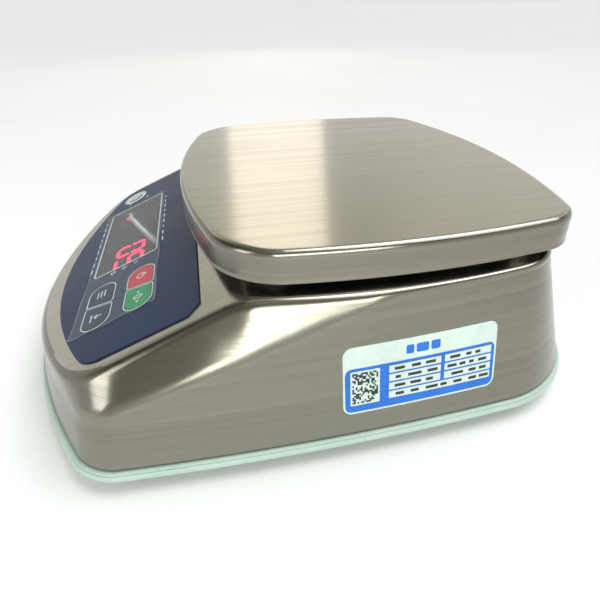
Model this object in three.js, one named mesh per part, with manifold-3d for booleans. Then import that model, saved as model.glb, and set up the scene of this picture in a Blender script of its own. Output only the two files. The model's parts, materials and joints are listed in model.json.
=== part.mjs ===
// A compact stainless-steel bench scale with a sloped display panel, in millimetres.
// +X is the operator's right, -Y the operator's side, +Z up, and the floor is z = 0.
import * as THREE from 'three';
import Module from 'manifold-3d';
import { LoftGeometry } from 'three/addons/geometries/LoftGeometry.js';
import { mergeVertices } from 'three/addons/utils/BufferGeometryUtils.js';

const wasm = await Module();
wasm.setup();

// Driving sizes.
const bodyWidth = 263.4; // across the housing's front corners, over the gasket
const bodyDepth = 295.8; // front bow to rear bow, over the gasket
const deckHeight = 76.4; // top of the housing above the floor
const platterRise = 18.2; // weighing surface above the deck
const platterWidth = 217.4; // across the platter's front corners
const platterDepth = 154.8; // between the platter's front and rear corners
const platterRim = 14.7;
const panelSlope = THREE.MathUtils.degToRad(22.1);
const panelReach = 114.8; // from the front bow back to the bend where the panel starts
const platterReach = 110.6; // from the rear bow forward to the platter's middle
const sheet = 1.2; // stainless steel sheet
const footLift = 7; // floor to the underside of the gasket
const footTravel = 5; // how far a levelling foot screws out
const gap = 0.3; // clearance between pieces that sit together
const keyTravel = 0.4;
const cellTravel = 0.25; // how far the platter sinks at full load

// Housing outline sizes: each side bows outwards by its bow, and the corners are rounded.
const rearTaper = 6.4; // each side, front corner to rear corner
const frontBow = 40.5;
const sideBow = 5.6;
const rearBow = 15.5;
const gasketHeight = 4.7;
const gasketBead = 2; // how far the bead stands out from the steel
const flangeWidth = 12;
const bendRadius = 3.5;
const wallLean = 10.6; // how far the side walls lean in, up to the deck
const rearLean = 20;
const ridgeInset = 17; // panel edge inside the housing's front corners, each side
const deckBow = 9.2;
const panelBow = 34.9;
const panelLead = 2.4; // the panel's front corners stand this far ahead of the walls' own
const rearScrews = 64; // rear bow to the rear base screws
const frontScrews = 86;
const creaseFront = 23.4; // height of the wall's crease at the front
const creaseRise = 0.302; // the crease climbs towards the rear
const plateThickness = 2;
const flangeScrewLine = 0.62; // the base screws' line, as a share of the flange's width

// Panel sizes, measured down the slope from the bend.
const overlay = { margin: 8, top: 20.5, corner: 75.3, bow: 30, radius: 12, chamfer: 6, thickness: 0.5 };
const display = { left: -68.4, right: 22.4, top: 45.4, bottom: 82.6, radius: 1.5 };
const level = { side: 16, down: 67.5, radius: 7.6, depth: 9 };
const keys = { side: 47, width: 39.6, height: 13.8, radius: 6.5, split: 2.6, slant: 3.4, rise: 0.3 };
const keyRows = { upper: 52.1, lower: 74.7 };
const switchPlate = { margin: 5, reach: 12, thickness: 1.5 };
const displayBoard = { top: -12, thickness: 1.6 };
const film = { border: 2.6, top: 42.4, bottom: 86.8, thickness: 0.2, above: 1 };

// Inner works.
const cell = { length: 130, width: 30, height: 22, bore: 7.2, boreSpacing: 15 };
const cellMount = { size: 30, height: 8, relief: 1.5 };
const cellBolt = { spacing: 15, shank: 2.7, head: 4.6, headHeight: 3.5 };
const carrierPost = { radius: 13 };
const carrierPlate = { thickness: 5, armWidth: 20, hubRadius: 24 };
const pad = { side: 26.7, end: 19.4, radius: 7 };
const bootRadius = 27;
const foot = { side: 35, front: 64, rear: 60, radius: 14, height: 4.5, stud: 4, nut: 7.2, bossRadius: 8 };
const footPad = { seat: 1.5, taper: 2.5 };
const screw = { shank: 1.8, head: 3.6, headHeight: 2.2, length: 11, nut: 3.9, nutHeight: 3 };
const battery = { offset: 25, back: -7.3, width: 48, depth: 101, height: 46 };
const mainBoard = { offset: 10, back: -9.3, width: 62, depth: 96, thickness: 1.6, raised: 6 };
const strap = { width: 22, thickness: 1.5, toe: 8 };
const jack = { x: -62, height: 34, radius: 5.5, flange: 8, length: 20 };
const label = { reach: 150.2, width: 73, low: 22.5, high: 54.6, lift: 0.3, thickness: 0.2 };

const plateBottom = footLift + 0.5;
const plateTop = plateBottom + plateThickness;
const gasketTop = footLift + gasketHeight;
const shellBottom = gasketTop + gap;
const wallTop = deckHeight - bendRadius;
const bendY = panelReach - bodyDepth / 2;
const platterY = bodyDepth / 2 - platterReach;
const platterHeight = deckHeight + platterRise;
const platterTopInside = platterHeight - sheet;

// Finishes.
function finish(color, roughness, metalness) {
  return new THREE.MeshStandardMaterial({ color, roughness, metalness });
}
const steel = finish('#a9a69c', 0.35, 1);
const zinc = finish('#9aa0a6', 0.4, 1);
const castAluminium = finish('#b9bcbf', 0.5, 1);
const silicone = finish('#cfe0d8', 0.6, 0);
const rubber = finish('#202124', 0.9, 0);
const blackPlastic = finish('#1c1e22', 0.6, 0);
const overlayFilm = finish('#2b3a5c', 0.45, 0);
const circuitBoard = finish('#1f5b3a', 0.6, 0);

const scale = new THREE.Group();
const panel = new THREE.Group();
panel.position.set(0, bendY, deckHeight);
panel.rotation.x = panelSlope;
scale.add(panel);
scale.updateMatrixWorld(true);

function addPart(name, geometry, material, parent = scale) {
  const mesh = new THREE.Mesh(geometry, material.clone());
  mesh.name = name;
  parent.add(mesh);
  return mesh;
}

// A closed geometry as a solid that can be cut and joined.
function toSolid(geometry) {
  const plain = new THREE.BufferGeometry();
  plain.setAttribute('position', geometry.getAttribute('position'));
  if (geometry.index) plain.setIndex(geometry.index);
  const merged = mergeVertices(plain, 1e-4);
  const corners = merged.index.array;
  const kept = [];
  for (let i = 0; i < corners.length; i += 3) {
    const [a, b, c] = [corners[i], corners[i + 1], corners[i + 2]];
    if (a !== b && b !== c && c !== a) kept.push(a, b, c);
  }
  const vertProperties = merged.getAttribute('position').array;
  return new wasm.Manifold(new wasm.Mesh({ numProp: 3, vertProperties, triVerts: new Uint32Array(kept) }));
}

function toGeometry(solid) {
  const mesh = solid.getMesh();
  const geometry = new THREE.BufferGeometry();
  geometry.setAttribute('position', new THREE.BufferAttribute(mesh.vertProperties, 3));
  geometry.setIndex(new THREE.BufferAttribute(mesh.triVerts, 1));
  const flat = geometry.toNonIndexed();
  flat.computeVertexNormals();
  return flat;
}

function cut(geometry, ...cutters) {
  return toGeometry(cutters.reduce((solid, cutter) => solid.subtract(toSolid(cutter)), toSolid(geometry)));
}

function join(geometry, ...others) {
  return toGeometry(others.reduce((solid, other) => solid.add(toSolid(other)), toSolid(geometry)));
}

// Plain blocks and discs, placed by their centre in plan and their lowest and highest z.
function block(width, depth, low, high, x = 0, y = 0) {
  return new THREE.BoxGeometry(width, depth, high - low).translate(x, y, (low + high) / 2);
}

function disc(radius, low, high, x = 0, y = 0, sides = 20) {
  const geometry = new THREE.CylinderGeometry(radius, radius, high - low, sides);
  return geometry.rotateX(Math.PI / 2).translate(x, y, (low + high) / 2);
}

function prism(shape, low, high) {
  return new THREE.ExtrudeGeometry(shape, { depth: high - low, bevelEnabled: false, curveSegments: 6 })
    .translate(0, 0, low);
}

// An outline in plan: four bowed sides and four rounded corners, anticlockwise from the front left.
const sidePoints = 12;
const cornerPoints = 5;

function sidePoint(start, end, bow, bowStart, t, backwards) {
  const along = backwards ? 1 - t : t;
  const q = Math.max(0, (along - bowStart) / (1 - bowStart));
  const chord = end.clone().sub(start);
  const outwards = new THREE.Vector2(chord.y, -chord.x).normalize();
  return start.clone().addScaledVector(chord, t).addScaledVector(outwards, bow * 4 * q * (1 - q));
}

function outline(o, inset = 0) {
  const front = o.front - inset;
  const rear = o.rear - inset;
  const corners = [
    new THREE.Vector2(-front, o.frontY + inset), new THREE.Vector2(front, o.frontY + inset),
    new THREE.Vector2(rear, o.rearY - inset), new THREE.Vector2(-rear, o.rearY - inset),
  ];
  const bows = [o.frontBow, o.sideBow, o.rearBow, o.sideBow];
  const full = [o.frontRadius, o.frontRadius, o.rearRadius, o.rearRadius];
  const radii = full.map((r) => Math.max(r - inset, 0.5));
  const pointOn = (side, t) => {
    const sloped = side % 2 === 1;
    const next = corners[(side + 1) % 4];
    const bowStart = sloped ? o.bowStart ?? 0 : 0;
    return sidePoint(corners[side], next, bows[side], bowStart, t, side === 3);
  };
  const step = 1e-3;
  const trims = corners.map((corner, i) => {
    const before = (i + 3) % 4;
    const arriving = corner.clone().sub(pointOn(before, 1 - step)).normalize();
    const leaving = pointOn(i, step).sub(corner).normalize();
    return radii[i] * Math.tan(Math.acos(Math.min(1, arriving.dot(leaving))) / 2);
  });
  const sides = corners.map((corner, i) => {
    const length = corner.distanceTo(corners[(i + 1) % 4]);
    const from = Math.min(trims[i] / length, 0.48);
    const to = 1 - Math.min(trims[(i + 1) % 4] / length, 0.48);
    const step = (to - from) / (sidePoints - 1);
    return Array.from({ length: sidePoints }, (_, k) => pointOn(i, from + step * k));
  });
  return sides.flatMap((side, i) => {
    const last = sides[(i + 3) % 4][sidePoints - 1];
    const pull = 0.55;
    const rounding = new THREE.CubicBezierCurve(
      last, last.clone().lerp(corners[i], pull), side[0].clone().lerp(corners[i], pull), side[0]);
    return [...rounding.getPoints(cornerPoints + 1).slice(1, -1), ...side];
  });
}

function atHeight(points, z) {
  const height = typeof z === 'function' ? z : () => z;
  return points.map((p) => new THREE.Vector3(p.x, p.y, height(p.y)));
}
const centreLine = (ring) => ring.map((p) => new THREE.Vector3(0, p.y, p.z));
const mixed = (a, b, c) => a.map((p, i) =>
  p.clone().multiplyScalar(0.25).addScaledVector(b[i], 0.5).addScaledVector(c[i], 0.25));

// The housing's base outline, over the gasket bead.
const gasketOutline = {
  front: bodyWidth / 2, rear: bodyWidth / 2 - rearTaper,
  frontY: -bodyDepth / 2 + frontBow, rearY: bodyDepth / 2 - rearBow,
  frontBow, sideBow, rearBow, frontRadius: 23.3, rearRadius: 63.3,
};
const innerFront = gasketOutline.front - gasketBead;
const innerRear = gasketOutline.rear - gasketBead;
const steelFrontY = gasketOutline.frontY + gasketBead;
const steelRearY = gasketOutline.rearY - gasketBead;

const baseOutline = {
  ...gasketOutline, front: innerFront, rear: innerRear, frontY: steelFrontY, rearY: steelRearY,
  frontRadius: 21.3, rearRadius: 61.3,
};

// The edge where the walls would meet the deck if nothing cut them back.
const wallOutline = {
  ...baseOutline, front: innerFront - wallLean, rear: innerRear - wallLean - 3,
  frontY: steelFrontY + wallLean, rearY: steelRearY - rearLean,
  sideBow: 7.4, rearBow: 15.6, frontRadius: 18, rearRadius: 33.6,
};

// The edge of the panel and deck together.
const ridgeOutline = {
  ...wallOutline, front: innerFront - ridgeInset, frontY: steelFrontY - panelLead,
  frontBow: panelBow, sideBow: deckBow, bowStart: 0.3, frontRadius: 29,
};

const topHeight = (y) => deckHeight - Math.max(0, bendY - y) * Math.tan(panelSlope);
const steelFront = steelFrontY - frontBow;

// The sections of the housing's skin from its lower edge to the middle of its top.
function skinSections(inset, bottom) {
  const drop = inset / Math.cos(panelSlope);
  const top = (y) => topHeight(y) - drop;
  const base = atHeight(outline(baseOutline, inset), bottom);
  const wall = atHeight(outline(wallOutline, inset), wallTop);
  const ridge = atHeight(outline(ridgeOutline, inset), top);
  const creaseLead = wallTop - shellBottom;
  const crease = base.map((start, i) => {
    const rise = wall[i].z - start.z;
    const back = wall[i].y - start.y;
    const creaseHeight = creaseFront - drop + creaseRise * (start.y - steelFront);
    const aimed = (creaseHeight - start.z) / (rise - creaseRise * back);
    const highest = (ridge[i].z - bendRadius - start.z) / rise;
    return start.clone().lerp(wall[i], Math.min(aimed, highest, creaseLead / rise));
  });
  const lowTangent = ridge.map((edge, i) => {
    const down = crease[i].clone().sub(edge);
    const reach = Math.min(bendRadius, down.length() * 0.7);
    return edge.clone().addScaledVector(down.clone().normalize(), reach);
  });
  const topTangent = atHeight(outline(ridgeOutline, inset + bendRadius), top);
  const bend = mixed(lowTangent, ridge, topTangent);
  return [base, crease, lowTangent, bend, topTangent, centreLine(topTangent)];
}

// A point on the right-hand wall, at a given y and z, standing out by lift.
function wallPoint(y, z, lift) {
  const s = (z - shellBottom) / (wallTop - shellBottom);
  const at = (a, b) => a + (b - a) * s;
  const t = (y - at(baseOutline.frontY, wallOutline.frontY))
    / (at(baseOutline.rearY, wallOutline.rearY) - at(baseOutline.frontY, wallOutline.frontY));
  const halfWidth = (o) => o.front + (o.rear - o.front) * t + o.sideBow * 4 * t * (1 - t);
  return new THREE.Vector3(at(halfWidth(baseOutline), halfWidth(wallOutline)) + lift, y, z);
}

// Shapes on the panel: local x is across, local y is up the slope and local z is the panel's normal.
function roundedRectangle(left, right, bottom, top, radius) {
  const shape = new THREE.Shape();
  shape.moveTo(left + radius, bottom);
  shape.lineTo(right - radius, bottom);
  shape.absarc(right - radius, bottom + radius, radius, -Math.PI / 2, 0);
  shape.lineTo(right, top - radius);
  shape.absarc(right - radius, top - radius, radius, 0, Math.PI / 2);
  shape.lineTo(left + radius, top);
  shape.absarc(left + radius, top - radius, radius, Math.PI / 2, Math.PI);
  shape.lineTo(left, bottom + radius);
  shape.absarc(left + radius, bottom + radius, radius, Math.PI, Math.PI * 1.5);
  return shape;
}

// One half of a stadium that a slanted slot splits in two.
function keyShape(right, down, grow = 0) {
  const half = keys.height / 2 + grow;
  const lean = keys.slant / 2;
  const inner = keys.split / 2 - grow;
  const outer = keys.width / 2 + grow;
  const radius = keys.radius + grow;
  const shape = new THREE.Shape();
  if (right) {
    shape.moveTo(inner - lean, -half);
    shape.lineTo(outer - radius, -half);
    shape.absarc(outer - radius, -half + radius, radius, -Math.PI / 2, 0);
    shape.absarc(outer - radius, half - radius, radius, 0, Math.PI / 2);
    shape.lineTo(inner + lean, half);
  } else {
    shape.moveTo(lean - inner, half);
    shape.lineTo(radius - outer, half);
    shape.absarc(radius - outer, half - radius, radius, Math.PI / 2, Math.PI);
    shape.absarc(radius - outer, radius - half, radius, Math.PI, Math.PI * 1.5);
    shape.lineTo(-lean - inner, -half);
  }
  return new THREE.Shape(shape.getPoints(4).map((p) => p.add(new THREE.Vector2(keysX, -down))));
}

const overlayHalf = ridgeOutline.front - overlay.margin;
const keysX = overlayHalf - keys.side;
const levelX = level.side - overlayHalf;
const keyList = [
  { name: 'key_off', right: false, down: keyRows.upper, color: '#c8283a' },
  { name: 'key_zero', right: true, down: keyRows.upper, color: '#0f8a4c' },
  { name: 'key_set', right: false, down: keyRows.lower, color: '#16203a' },
  { name: 'key_tare', right: true, down: keyRows.lower, color: '#16203a' },
];
const onPanel = (geometry) => geometry.applyMatrix4(panel.matrixWorld);
const windowShape = (grow) => roundedRectangle(
  display.left - grow,
  display.right + grow,
  -display.bottom - grow,
  -display.top + grow,
  display.radius + grow,
);
const levelHole = (low, high, grow) => disc(level.radius + grow, low, high, levelX, -level.down, 24);

const screwPlaces = [];
for (const y of [frontScrews - bodyDepth / 2, bodyDepth / 2 - rearScrews]) {
  for (const side of [-1, 1]) {
    const x = wallPoint(y, shellBottom, 0).x - flangeWidth * flangeScrewLine;
    screwPlaces.push({ name: `${y < 0 ? 'front' : 'rear'}_${side < 0 ? 'left' : 'right'}`, x: side * x, y });
  }
}
const footPlaces = [];
for (const y of [foot.front - bodyDepth / 2, bodyDepth / 2 - foot.rear]) {
  for (const side of [-1, 1]) {
    const name = `${y < 0 ? 'front' : 'rear'}_${side < 0 ? 'left' : 'right'}`;
    footPlaces.push({ name, x: side * (bodyWidth / 2 - foot.side), y });
  }
}
const screwHoles = (low, high) => screwPlaces.map((p) => disc(screw.shank + gap, low, high, p.x, p.y, 12));

// The rear wall's y at a given x and z.
function wallRearY(x, z) {
  const s = (z - shellBottom) / (wallTop - shellBottom);
  const rearAt = (o) => {
    const t = 0.5 - x / (2 * o.rear);
    return o.rearY + o.rearBow * 4 * t * (1 - t);
  };
  return rearAt(baseOutline) * (1 - s) + rearAt(wallOutline) * s;
}

// The socket's own frame: local z points out of the rear wall.
const jackPlace = new THREE.Vector3(jack.x, wallRearY(jack.x, jack.height), jack.height);
const wallNormal = new THREE.Vector3(
  jackPlace.y - wallRearY(jack.x + 1, jack.height), 1, jackPlace.y - wallRearY(jack.x, jack.height + 1));
const jackGroup = new THREE.Group();
scale.add(jackGroup);
jackGroup.position.copy(jackPlace);
jackGroup.up.set(0, 0, 1);
jackGroup.lookAt(jackPlace.clone().add(wallNormal));
scale.updateMatrixWorld(true);
const onJack = (geometry) => geometry.applyMatrix4(jackGroup.matrixWorld);

// Housing shell: one drawn sheet with a folded flange, cut for the panel's pieces, the boot and the socket.
const outerSkin = skinSections(0, shellBottom);
const innerSkin = skinSections(sheet, shellBottom + sheet);
const flangeEdge = outline(baseOutline, flangeWidth);
const shellBlank = new LoftGeometry([
  ...innerSkin.toReversed(),
  atHeight(flangeEdge, shellBottom + sheet), atHeight(flangeEdge, shellBottom),
  ...outerSkin,
]);
const throughSheet = [-3 * sheet, 2 * sheet];
const keySlot = (down) => roundedRectangle(
  keysX - keys.width / 2 - gap, keysX + keys.width / 2 + gap,
  -down - keys.height / 2 - gap, -down + keys.height / 2 + gap, keys.radius);
addPart('housing_shell', cut(
  shellBlank,
  onPanel(prism(windowShape(gap), ...throughSheet)),
  onPanel(levelHole(...throughSheet, gap)),
  onPanel(prism(keySlot(keyRows.upper), ...throughSheet)),
  onPanel(prism(keySlot(keyRows.lower), ...throughSheet)),
  disc(bootRadius, deckHeight - 4, deckHeight + 2, 0, platterY, 32),
  onJack(disc(jack.radius + gap, -4, 3)),
  ...screwHoles(shellBottom - 1, shellBottom + sheet + 1),
), steel);

// Silicone gasket: a bead outside and a flat web under the shell's flange.
const gasketSections = [
  [3, footLift], [0.8, footLift], [0, footLift + 1.3], [0, gasketTop - 1.3], [0.8, gasketTop - 0.2],
  [gasketBead, gasketTop], [flangeWidth, gasketTop], [flangeWidth, plateTop + gap], [3, plateTop + gap],
  [3, footLift],
].map(([inset, z]) => atHeight(outline(gasketOutline, inset), z));
const gasketHoles = screwHoles(footLift, gasketTop + 1);
addPart('base_gasket', cut(new LoftGeometry(gasketSections), ...gasketHoles), silicone);

// Base plate, with a threaded boss over each foot.
const plateEdge = outline(gasketOutline, 3 + gap);
const plateRing = [atHeight(plateEdge, plateBottom), atHeight(plateEdge, plateTop)];
const plateBlank = new LoftGeometry([centreLine(plateRing[0]), ...plateRing, centreLine(plateRing[1])]);
const bossTop = plateTop + 9;
const cellBoltPlaces = (y) => [y - cellBolt.spacing / 2, y + cellBolt.spacing / 2];

function cellBoltHoles(endY, bottom, top) {
  return cellBoltPlaces(endY).map((y) => disc(cellBolt.shank + gap, bottom, top, 0, y, 12));
}
const cellFrontY = platterY - cell.length / 2;
const fixedEndY = cellFrontY + cellMount.size / 2;
const freeEndY = cellFrontY + cell.length - cellMount.size / 2;
const cellBottom = plateTop + gap + cellMount.height + gap;
const cellTop = cellBottom + cell.height;
const stopTop = cellBottom - 2 * cellTravel;
addPart('base_plate', cut(
  join(plateBlank, ...footPlaces.map((p) => disc(foot.bossRadius, plateBottom + 0.5, bossTop, p.x, p.y))),
  ...footPlaces.map((p) => disc(foot.stud + gap, plateBottom - 1, bossTop + 1, p.x, p.y)),
  ...screwHoles(plateBottom - 1, plateTop + 1),
  ...cellBoltHoles(fixedEndY, plateBottom - 1, plateTop + 1),
), steel);

for (const place of screwPlaces) {
  const headTop = plateBottom - gap;
  const head = disc(screw.head, headTop - screw.headHeight, headTop, place.x, place.y, 16);
  const shank = disc(screw.shank, plateBottom - gap - 1, plateBottom + screw.length, place.x, place.y, 12);
  addPart(`base_screw_${place.name}`, join(head, shank), zinc);
  const nutLow = shellBottom + sheet + gap;
  const nut = disc(screw.nut, nutLow, nutLow + screw.nutHeight, place.x, place.y, 6);
  const thread = disc(screw.shank + gap, nutLow - 1, nutLow + screw.nutHeight + 1, place.x, place.y, 12);
  addPart(`weld_nut_${place.name}`, cut(nut, thread), zinc);
}

// Levelling feet: a stud screwed through the base plate, a lock nut and a rubber pad.
for (const place of footPlaces) {
  const studTop = bossTop + footTravel + 1;
  const stud = disc(foot.stud, footPad.seat + gap, studTop, place.x, place.y, 16);
  addPart(`foot_stud_${place.name}`, stud, zinc);
  const padBlank = new THREE.CylinderGeometry(foot.radius - footPad.taper, foot.radius, foot.height, 28)
    .rotateX(Math.PI / 2).translate(place.x, place.y, foot.height / 2);
  const studHole = disc(foot.stud + gap, footPad.seat, foot.height + 1, place.x, place.y, 16);
  addPart(`foot_pad_${place.name}`, cut(padBlank, studHole), rubber);
  const nut = disc(foot.nut, foot.height + gap, plateBottom - gap, place.x, place.y, 6);
  const nutHole = disc(foot.stud + gap, foot.height, plateBottom, place.x, place.y, 16);
  addPart(`foot_lock_nut_${place.name}`, cut(nut, nutHole), zinc);
}

// Load cell: a beam with twin bores, bolted down at the front and carrying the platter at the rear.
const bore = (y, z) => disc(cell.bore, -cell.width, cell.width, 0, 0, 16)
  .rotateY(Math.PI / 2).translate(0, y, z);
const boreZ = cellBottom + cell.height / 2;
const boreSides = [-cell.boreSpacing / 2 - cell.bore / 2, cell.boreSpacing / 2 + cell.bore / 2];
const web = new THREE.BoxGeometry(cell.width * 2, cell.boreSpacing, cell.bore).translate(0, platterY, boreZ);
addPart('load_cell', cut(
  block(cell.width, cell.length, cellBottom, cellTop, 0, platterY),
  join(web, ...boreSides.map((offset) => bore(platterY + offset, boreZ))),
  ...cellBoltHoles(fixedEndY, cellBottom - 1, cellBottom + 15),
  ...cellBoltHoles(freeEndY, cellTop - 15, cellTop + 1),
), castAluminium);

addPart('load_cell_mount', cut(
  block(cellMount.size, cellMount.size, plateTop + gap, cellBottom - gap, 0, fixedEndY),
  ...cellBoltHoles(fixedEndY, plateTop, cellBottom),
), castAluminium);

cellBoltPlaces(fixedEndY).forEach((y, i) => {
  const head = disc(cellBolt.head, plateBottom - gap - cellBolt.headHeight, plateBottom - gap, 0, y, 16);
  const shank = disc(cellBolt.shank, plateBottom - gap - 1, cellBottom + 14, 0, y, 12);
  addPart(`cell_bolt_${i + 1}`, join(head, shank), zinc);
});

addPart('overload_stop', join(
  disc(5.5, plateTop + gap, plateTop + gap + 4, 0, freeEndY, 6),
  disc(4, plateTop + gap + 3, stopTop, 0, freeEndY, 16),
), zinc);

// Carrier: an offset foot on the cell's free end, a post up through the deck, and a cross of arms.
const armTop = platterTopInside - 7;
const armBottom = armTop - carrierPlate.thickness;
const offsetTop = cellTop + gap + 8;
const bracketFront = platterY - carrierPost.radius;
const bracketBack = freeEndY + cellMount.size / 2;
addPart('carrier_bracket', cut(
  join(
    block(cellMount.size, bracketBack - bracketFront,
      cellTop + gap + cellMount.relief, offsetTop, 0, (bracketBack + bracketFront) / 2),
    block(cellMount.size, cellMount.size, cellTop + gap, offsetTop - 1, 0, freeEndY),
    disc(carrierPost.radius, offsetTop - 1, armBottom - gap, 0, platterY, 24),
  ),
  ...cellBoltHoles(freeEndY, cellTop, offsetTop + 1),
  ...[-6, 6].map((x) => disc(screw.shank + gap, armBottom - 14, armBottom, x, platterY, 12)),
), castAluminium);

cellBoltPlaces(freeEndY).forEach((y, i) => {
  const head = disc(cellBolt.head, offsetTop + gap, offsetTop + gap + cellBolt.headHeight, 0, y, 16);
  const shank = disc(cellBolt.shank, cellTop - 14, offsetTop + gap + 1, 0, y, 12);
  addPart(`carrier_bolt_${i + 1}`, join(head, shank), zinc);
});

const padX = platterWidth / 2 - pad.side;
const padY = platterDepth / 2 - pad.end;
const armAngle = Math.atan2(padY, padX);
const armLength = 2 * (Math.hypot(padX, padY) + 10);
const arm = (angle) => block(armLength, carrierPlate.armWidth, armBottom, armTop).rotateZ(angle)
  .translate(0, platterY, 0);
addPart('platter_carrier', cut(
  join(arm(armAngle), arm(-armAngle), disc(carrierPlate.hubRadius, armBottom, armTop, 0, platterY, 32)),
  ...[-6, 6].map((x) => disc(screw.shank + gap, armBottom - 1, armTop + 1, x, platterY, 12)),
), castAluminium);
[-6, 6].forEach((x, i) => {
  const head = disc(screw.head, armTop + gap, armTop + gap + screw.headHeight, x, platterY, 16);
  const shank = disc(screw.shank, armBottom - 12, armTop + gap + 1, x, platterY, 12);
  addPart(`carrier_screw_${i + 1}`, join(head, shank), zinc);
});
for (const place of footPlaces) {
  const x = Math.sign(place.x) * padX;
  const y = platterY + (place.y < 0 ? -padY : padY);
  const padTop = platterTopInside - gap;
  addPart(`platter_pad_${place.name}`, disc(pad.radius, armTop + gap, padTop, x, y, 16), rubber);
}

// Rubber boot between the deck's hole and the carrier's post.
const bootFold = [
  [carrierPost.radius + 0.6, deckHeight + 1.2], [bootRadius + 4, deckHeight + gap],
  [bootRadius + 4, deckHeight + gap + 1], [carrierPost.radius + 1.6, deckHeight + 2.4],
  [carrierPost.radius + 0.6, deckHeight + 2.4], [carrierPost.radius + 0.6, deckHeight + 1.2],
].map(([r, z]) => new THREE.Vector2(r, z));
const boot = new THREE.LatheGeometry(bootFold, 32).rotateX(Math.PI / 2).translate(0, platterY, 0);
addPart('deck_boot', boot, rubber);

// Platter: an inverted pan with a rolled edge.
const platterOutline = {
  front: platterWidth / 2, rear: platterWidth / 2 - 2.3,
  frontY: platterY - platterDepth / 2 + 0.7, rearY: platterY + platterDepth / 2 + 0.7,
  frontBow: 18.3, sideBow: 7.6, rearBow: 16.8, frontRadius: 35.1, rearRadius: 22.3,
};
function panSections(inset) {
  const topZ = platterHeight - inset;
  const rim = atHeight(outline(platterOutline, inset), platterHeight - platterRim);
  const rimTop = atHeight(outline(platterOutline, inset), topZ - bendRadius);
  const edge = atHeight(outline(platterOutline, inset), topZ);
  const top = atHeight(outline(platterOutline, inset + bendRadius), topZ);
  return [rim, rimTop, mixed(rimTop, edge, top), top, centreLine(top)];
}
addPart('platter', toGeometry(toSolid(
  new LoftGeometry([...panSections(sheet).toReversed(), ...panSections(0)]))), steel);

// Panel pieces.
const overlayOutline = {
  front: overlayHalf, rear: overlayHalf, frontY: -overlay.corner, rearY: -overlay.top,
  frontBow: overlay.bow, sideBow: 0, rearBow: 0, frontRadius: overlay.radius, rearRadius: overlay.chamfer,
};
const overlayShape = new THREE.Shape(outline(overlayOutline));
const overlayLow = gap;
const overlayHigh = gap + overlay.thickness;
const throughOverlay = [0, overlayHigh + 1];
const switchTop = -sheet - gap;
addPart('panel_overlay', cut(
  prism(overlayShape, overlayLow, overlayHigh),
  prism(windowShape(gap), ...throughOverlay),
  levelHole(...throughOverlay, gap),
  ...keyList.map((key) => prism(keyShape(key.right, key.down, gap), ...throughOverlay)),
), overlayFilm, panel);

const smoked = finish('#4b4640', 0.12, 0);
addPart('display_window', prism(windowShape(0), -sheet - gap, overlayHigh), smoked, panel);
addPart('level_vial', join(
  levelHole(-level.depth, overlayHigh - 0.4, -1),
  levelHole(-sheet, overlayHigh, 0),
), finish('#d7e6dc', 0.1, 0), panel);

const keyBottom = switchTop + keyTravel + 0.1;
for (const key of keyList) {
  addPart(key.name, prism(keyShape(key.right, key.down), keyBottom, overlayHigh + keys.rise),
    finish(key.color, 0.45, 0), panel);
}

const filmRise = overlayHigh + keys.rise + film.above;
addPart('protective_film', prism(roundedRectangle(
  display.left - film.border, keysX + keys.width / 2 + film.border, -film.bottom, -film.top, 2),
  filmRise, filmRise + film.thickness), finish('#8d99a6', 0.2, 0), panel);

// Behind the panel: the key switch plate and the display board with its digits.
addPart('key_switch_plate', prism(roundedRectangle(
  keysX - keys.width / 2 - switchPlate.margin, keysX + keys.width / 2 + switchPlate.margin,
  -keyRows.lower - switchPlate.reach, -keyRows.upper + switchPlate.reach, 2),
switchTop - switchPlate.thickness, switchTop), blackPlastic, panel);

const boardTop = displayBoard.top;
const digitsTop = switchTop - gap - 0.5;
addPart('display_digits', prism(roundedRectangle(
  display.left + 5, display.right - 3, -display.bottom + 6, -display.top - 7, 1),
boardTop + gap, digitsTop), blackPlastic, panel);
addPart('display_board', join(
  prism(roundedRectangle(display.left - 4, keysX + 30, -display.bottom - 5, -display.top + 5, 2),
    boardTop - displayBoard.thickness, boardTop),
  block(24, 8, boardTop - 8, boardTop - 1, 0, -display.top - 6),
  block(14, 14, boardTop - 4, boardTop - 1, -40, -65),
), circuitBoard, panel);

// Main board on the left, battery and its strap on the right.
const boardX = -cell.width / 2 - mainBoard.offset - mainBoard.width / 2;
const boardY = platterY + mainBoard.back;
const boardLow = plateTop + mainBoard.raised;
const boardSurface = boardLow + mainBoard.thickness;
const legs = [-1, 1].flatMap((i) => [-1, 1].map((j) => disc(3, plateTop + gap, boardLow + 0.5,
  boardX + i * (mainBoard.width / 2 - 5), boardY + j * (mainBoard.depth / 2 - 5), 12)));
addPart('main_board', join(
  block(mainBoard.width, mainBoard.depth, boardLow, boardSurface, boardX, boardY),
  ...legs,
  block(16, 16, boardSurface - 1, boardSurface + 2, boardX + 8, boardY - 6),
  block(30, 8, boardSurface - 1, boardSurface + 8, boardX, boardY - 40),
  block(22, 24, boardSurface - 1, boardSurface + 20, boardX - 14, boardY + 28),
  disc(6, boardSurface - 1, boardSurface + 14, boardX + 18, boardY + 30, 16),
), circuitBoard);

const batteryX = cell.width / 2 + battery.offset + battery.width / 2;
const batteryY = platterY + battery.back;
const batteryLow = plateTop + gap;
const batteryTop = batteryLow + battery.height;
const terminal = (offset) => block(5, 1, batteryTop - 1, batteryTop + 5,
  batteryX + offset, batteryY - battery.depth / 2 + 10);
addPart('battery', join(
  block(battery.width, battery.depth, batteryLow, batteryTop, batteryX, batteryY),
  terminal(-15), terminal(15),
), blackPlastic);

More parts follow.
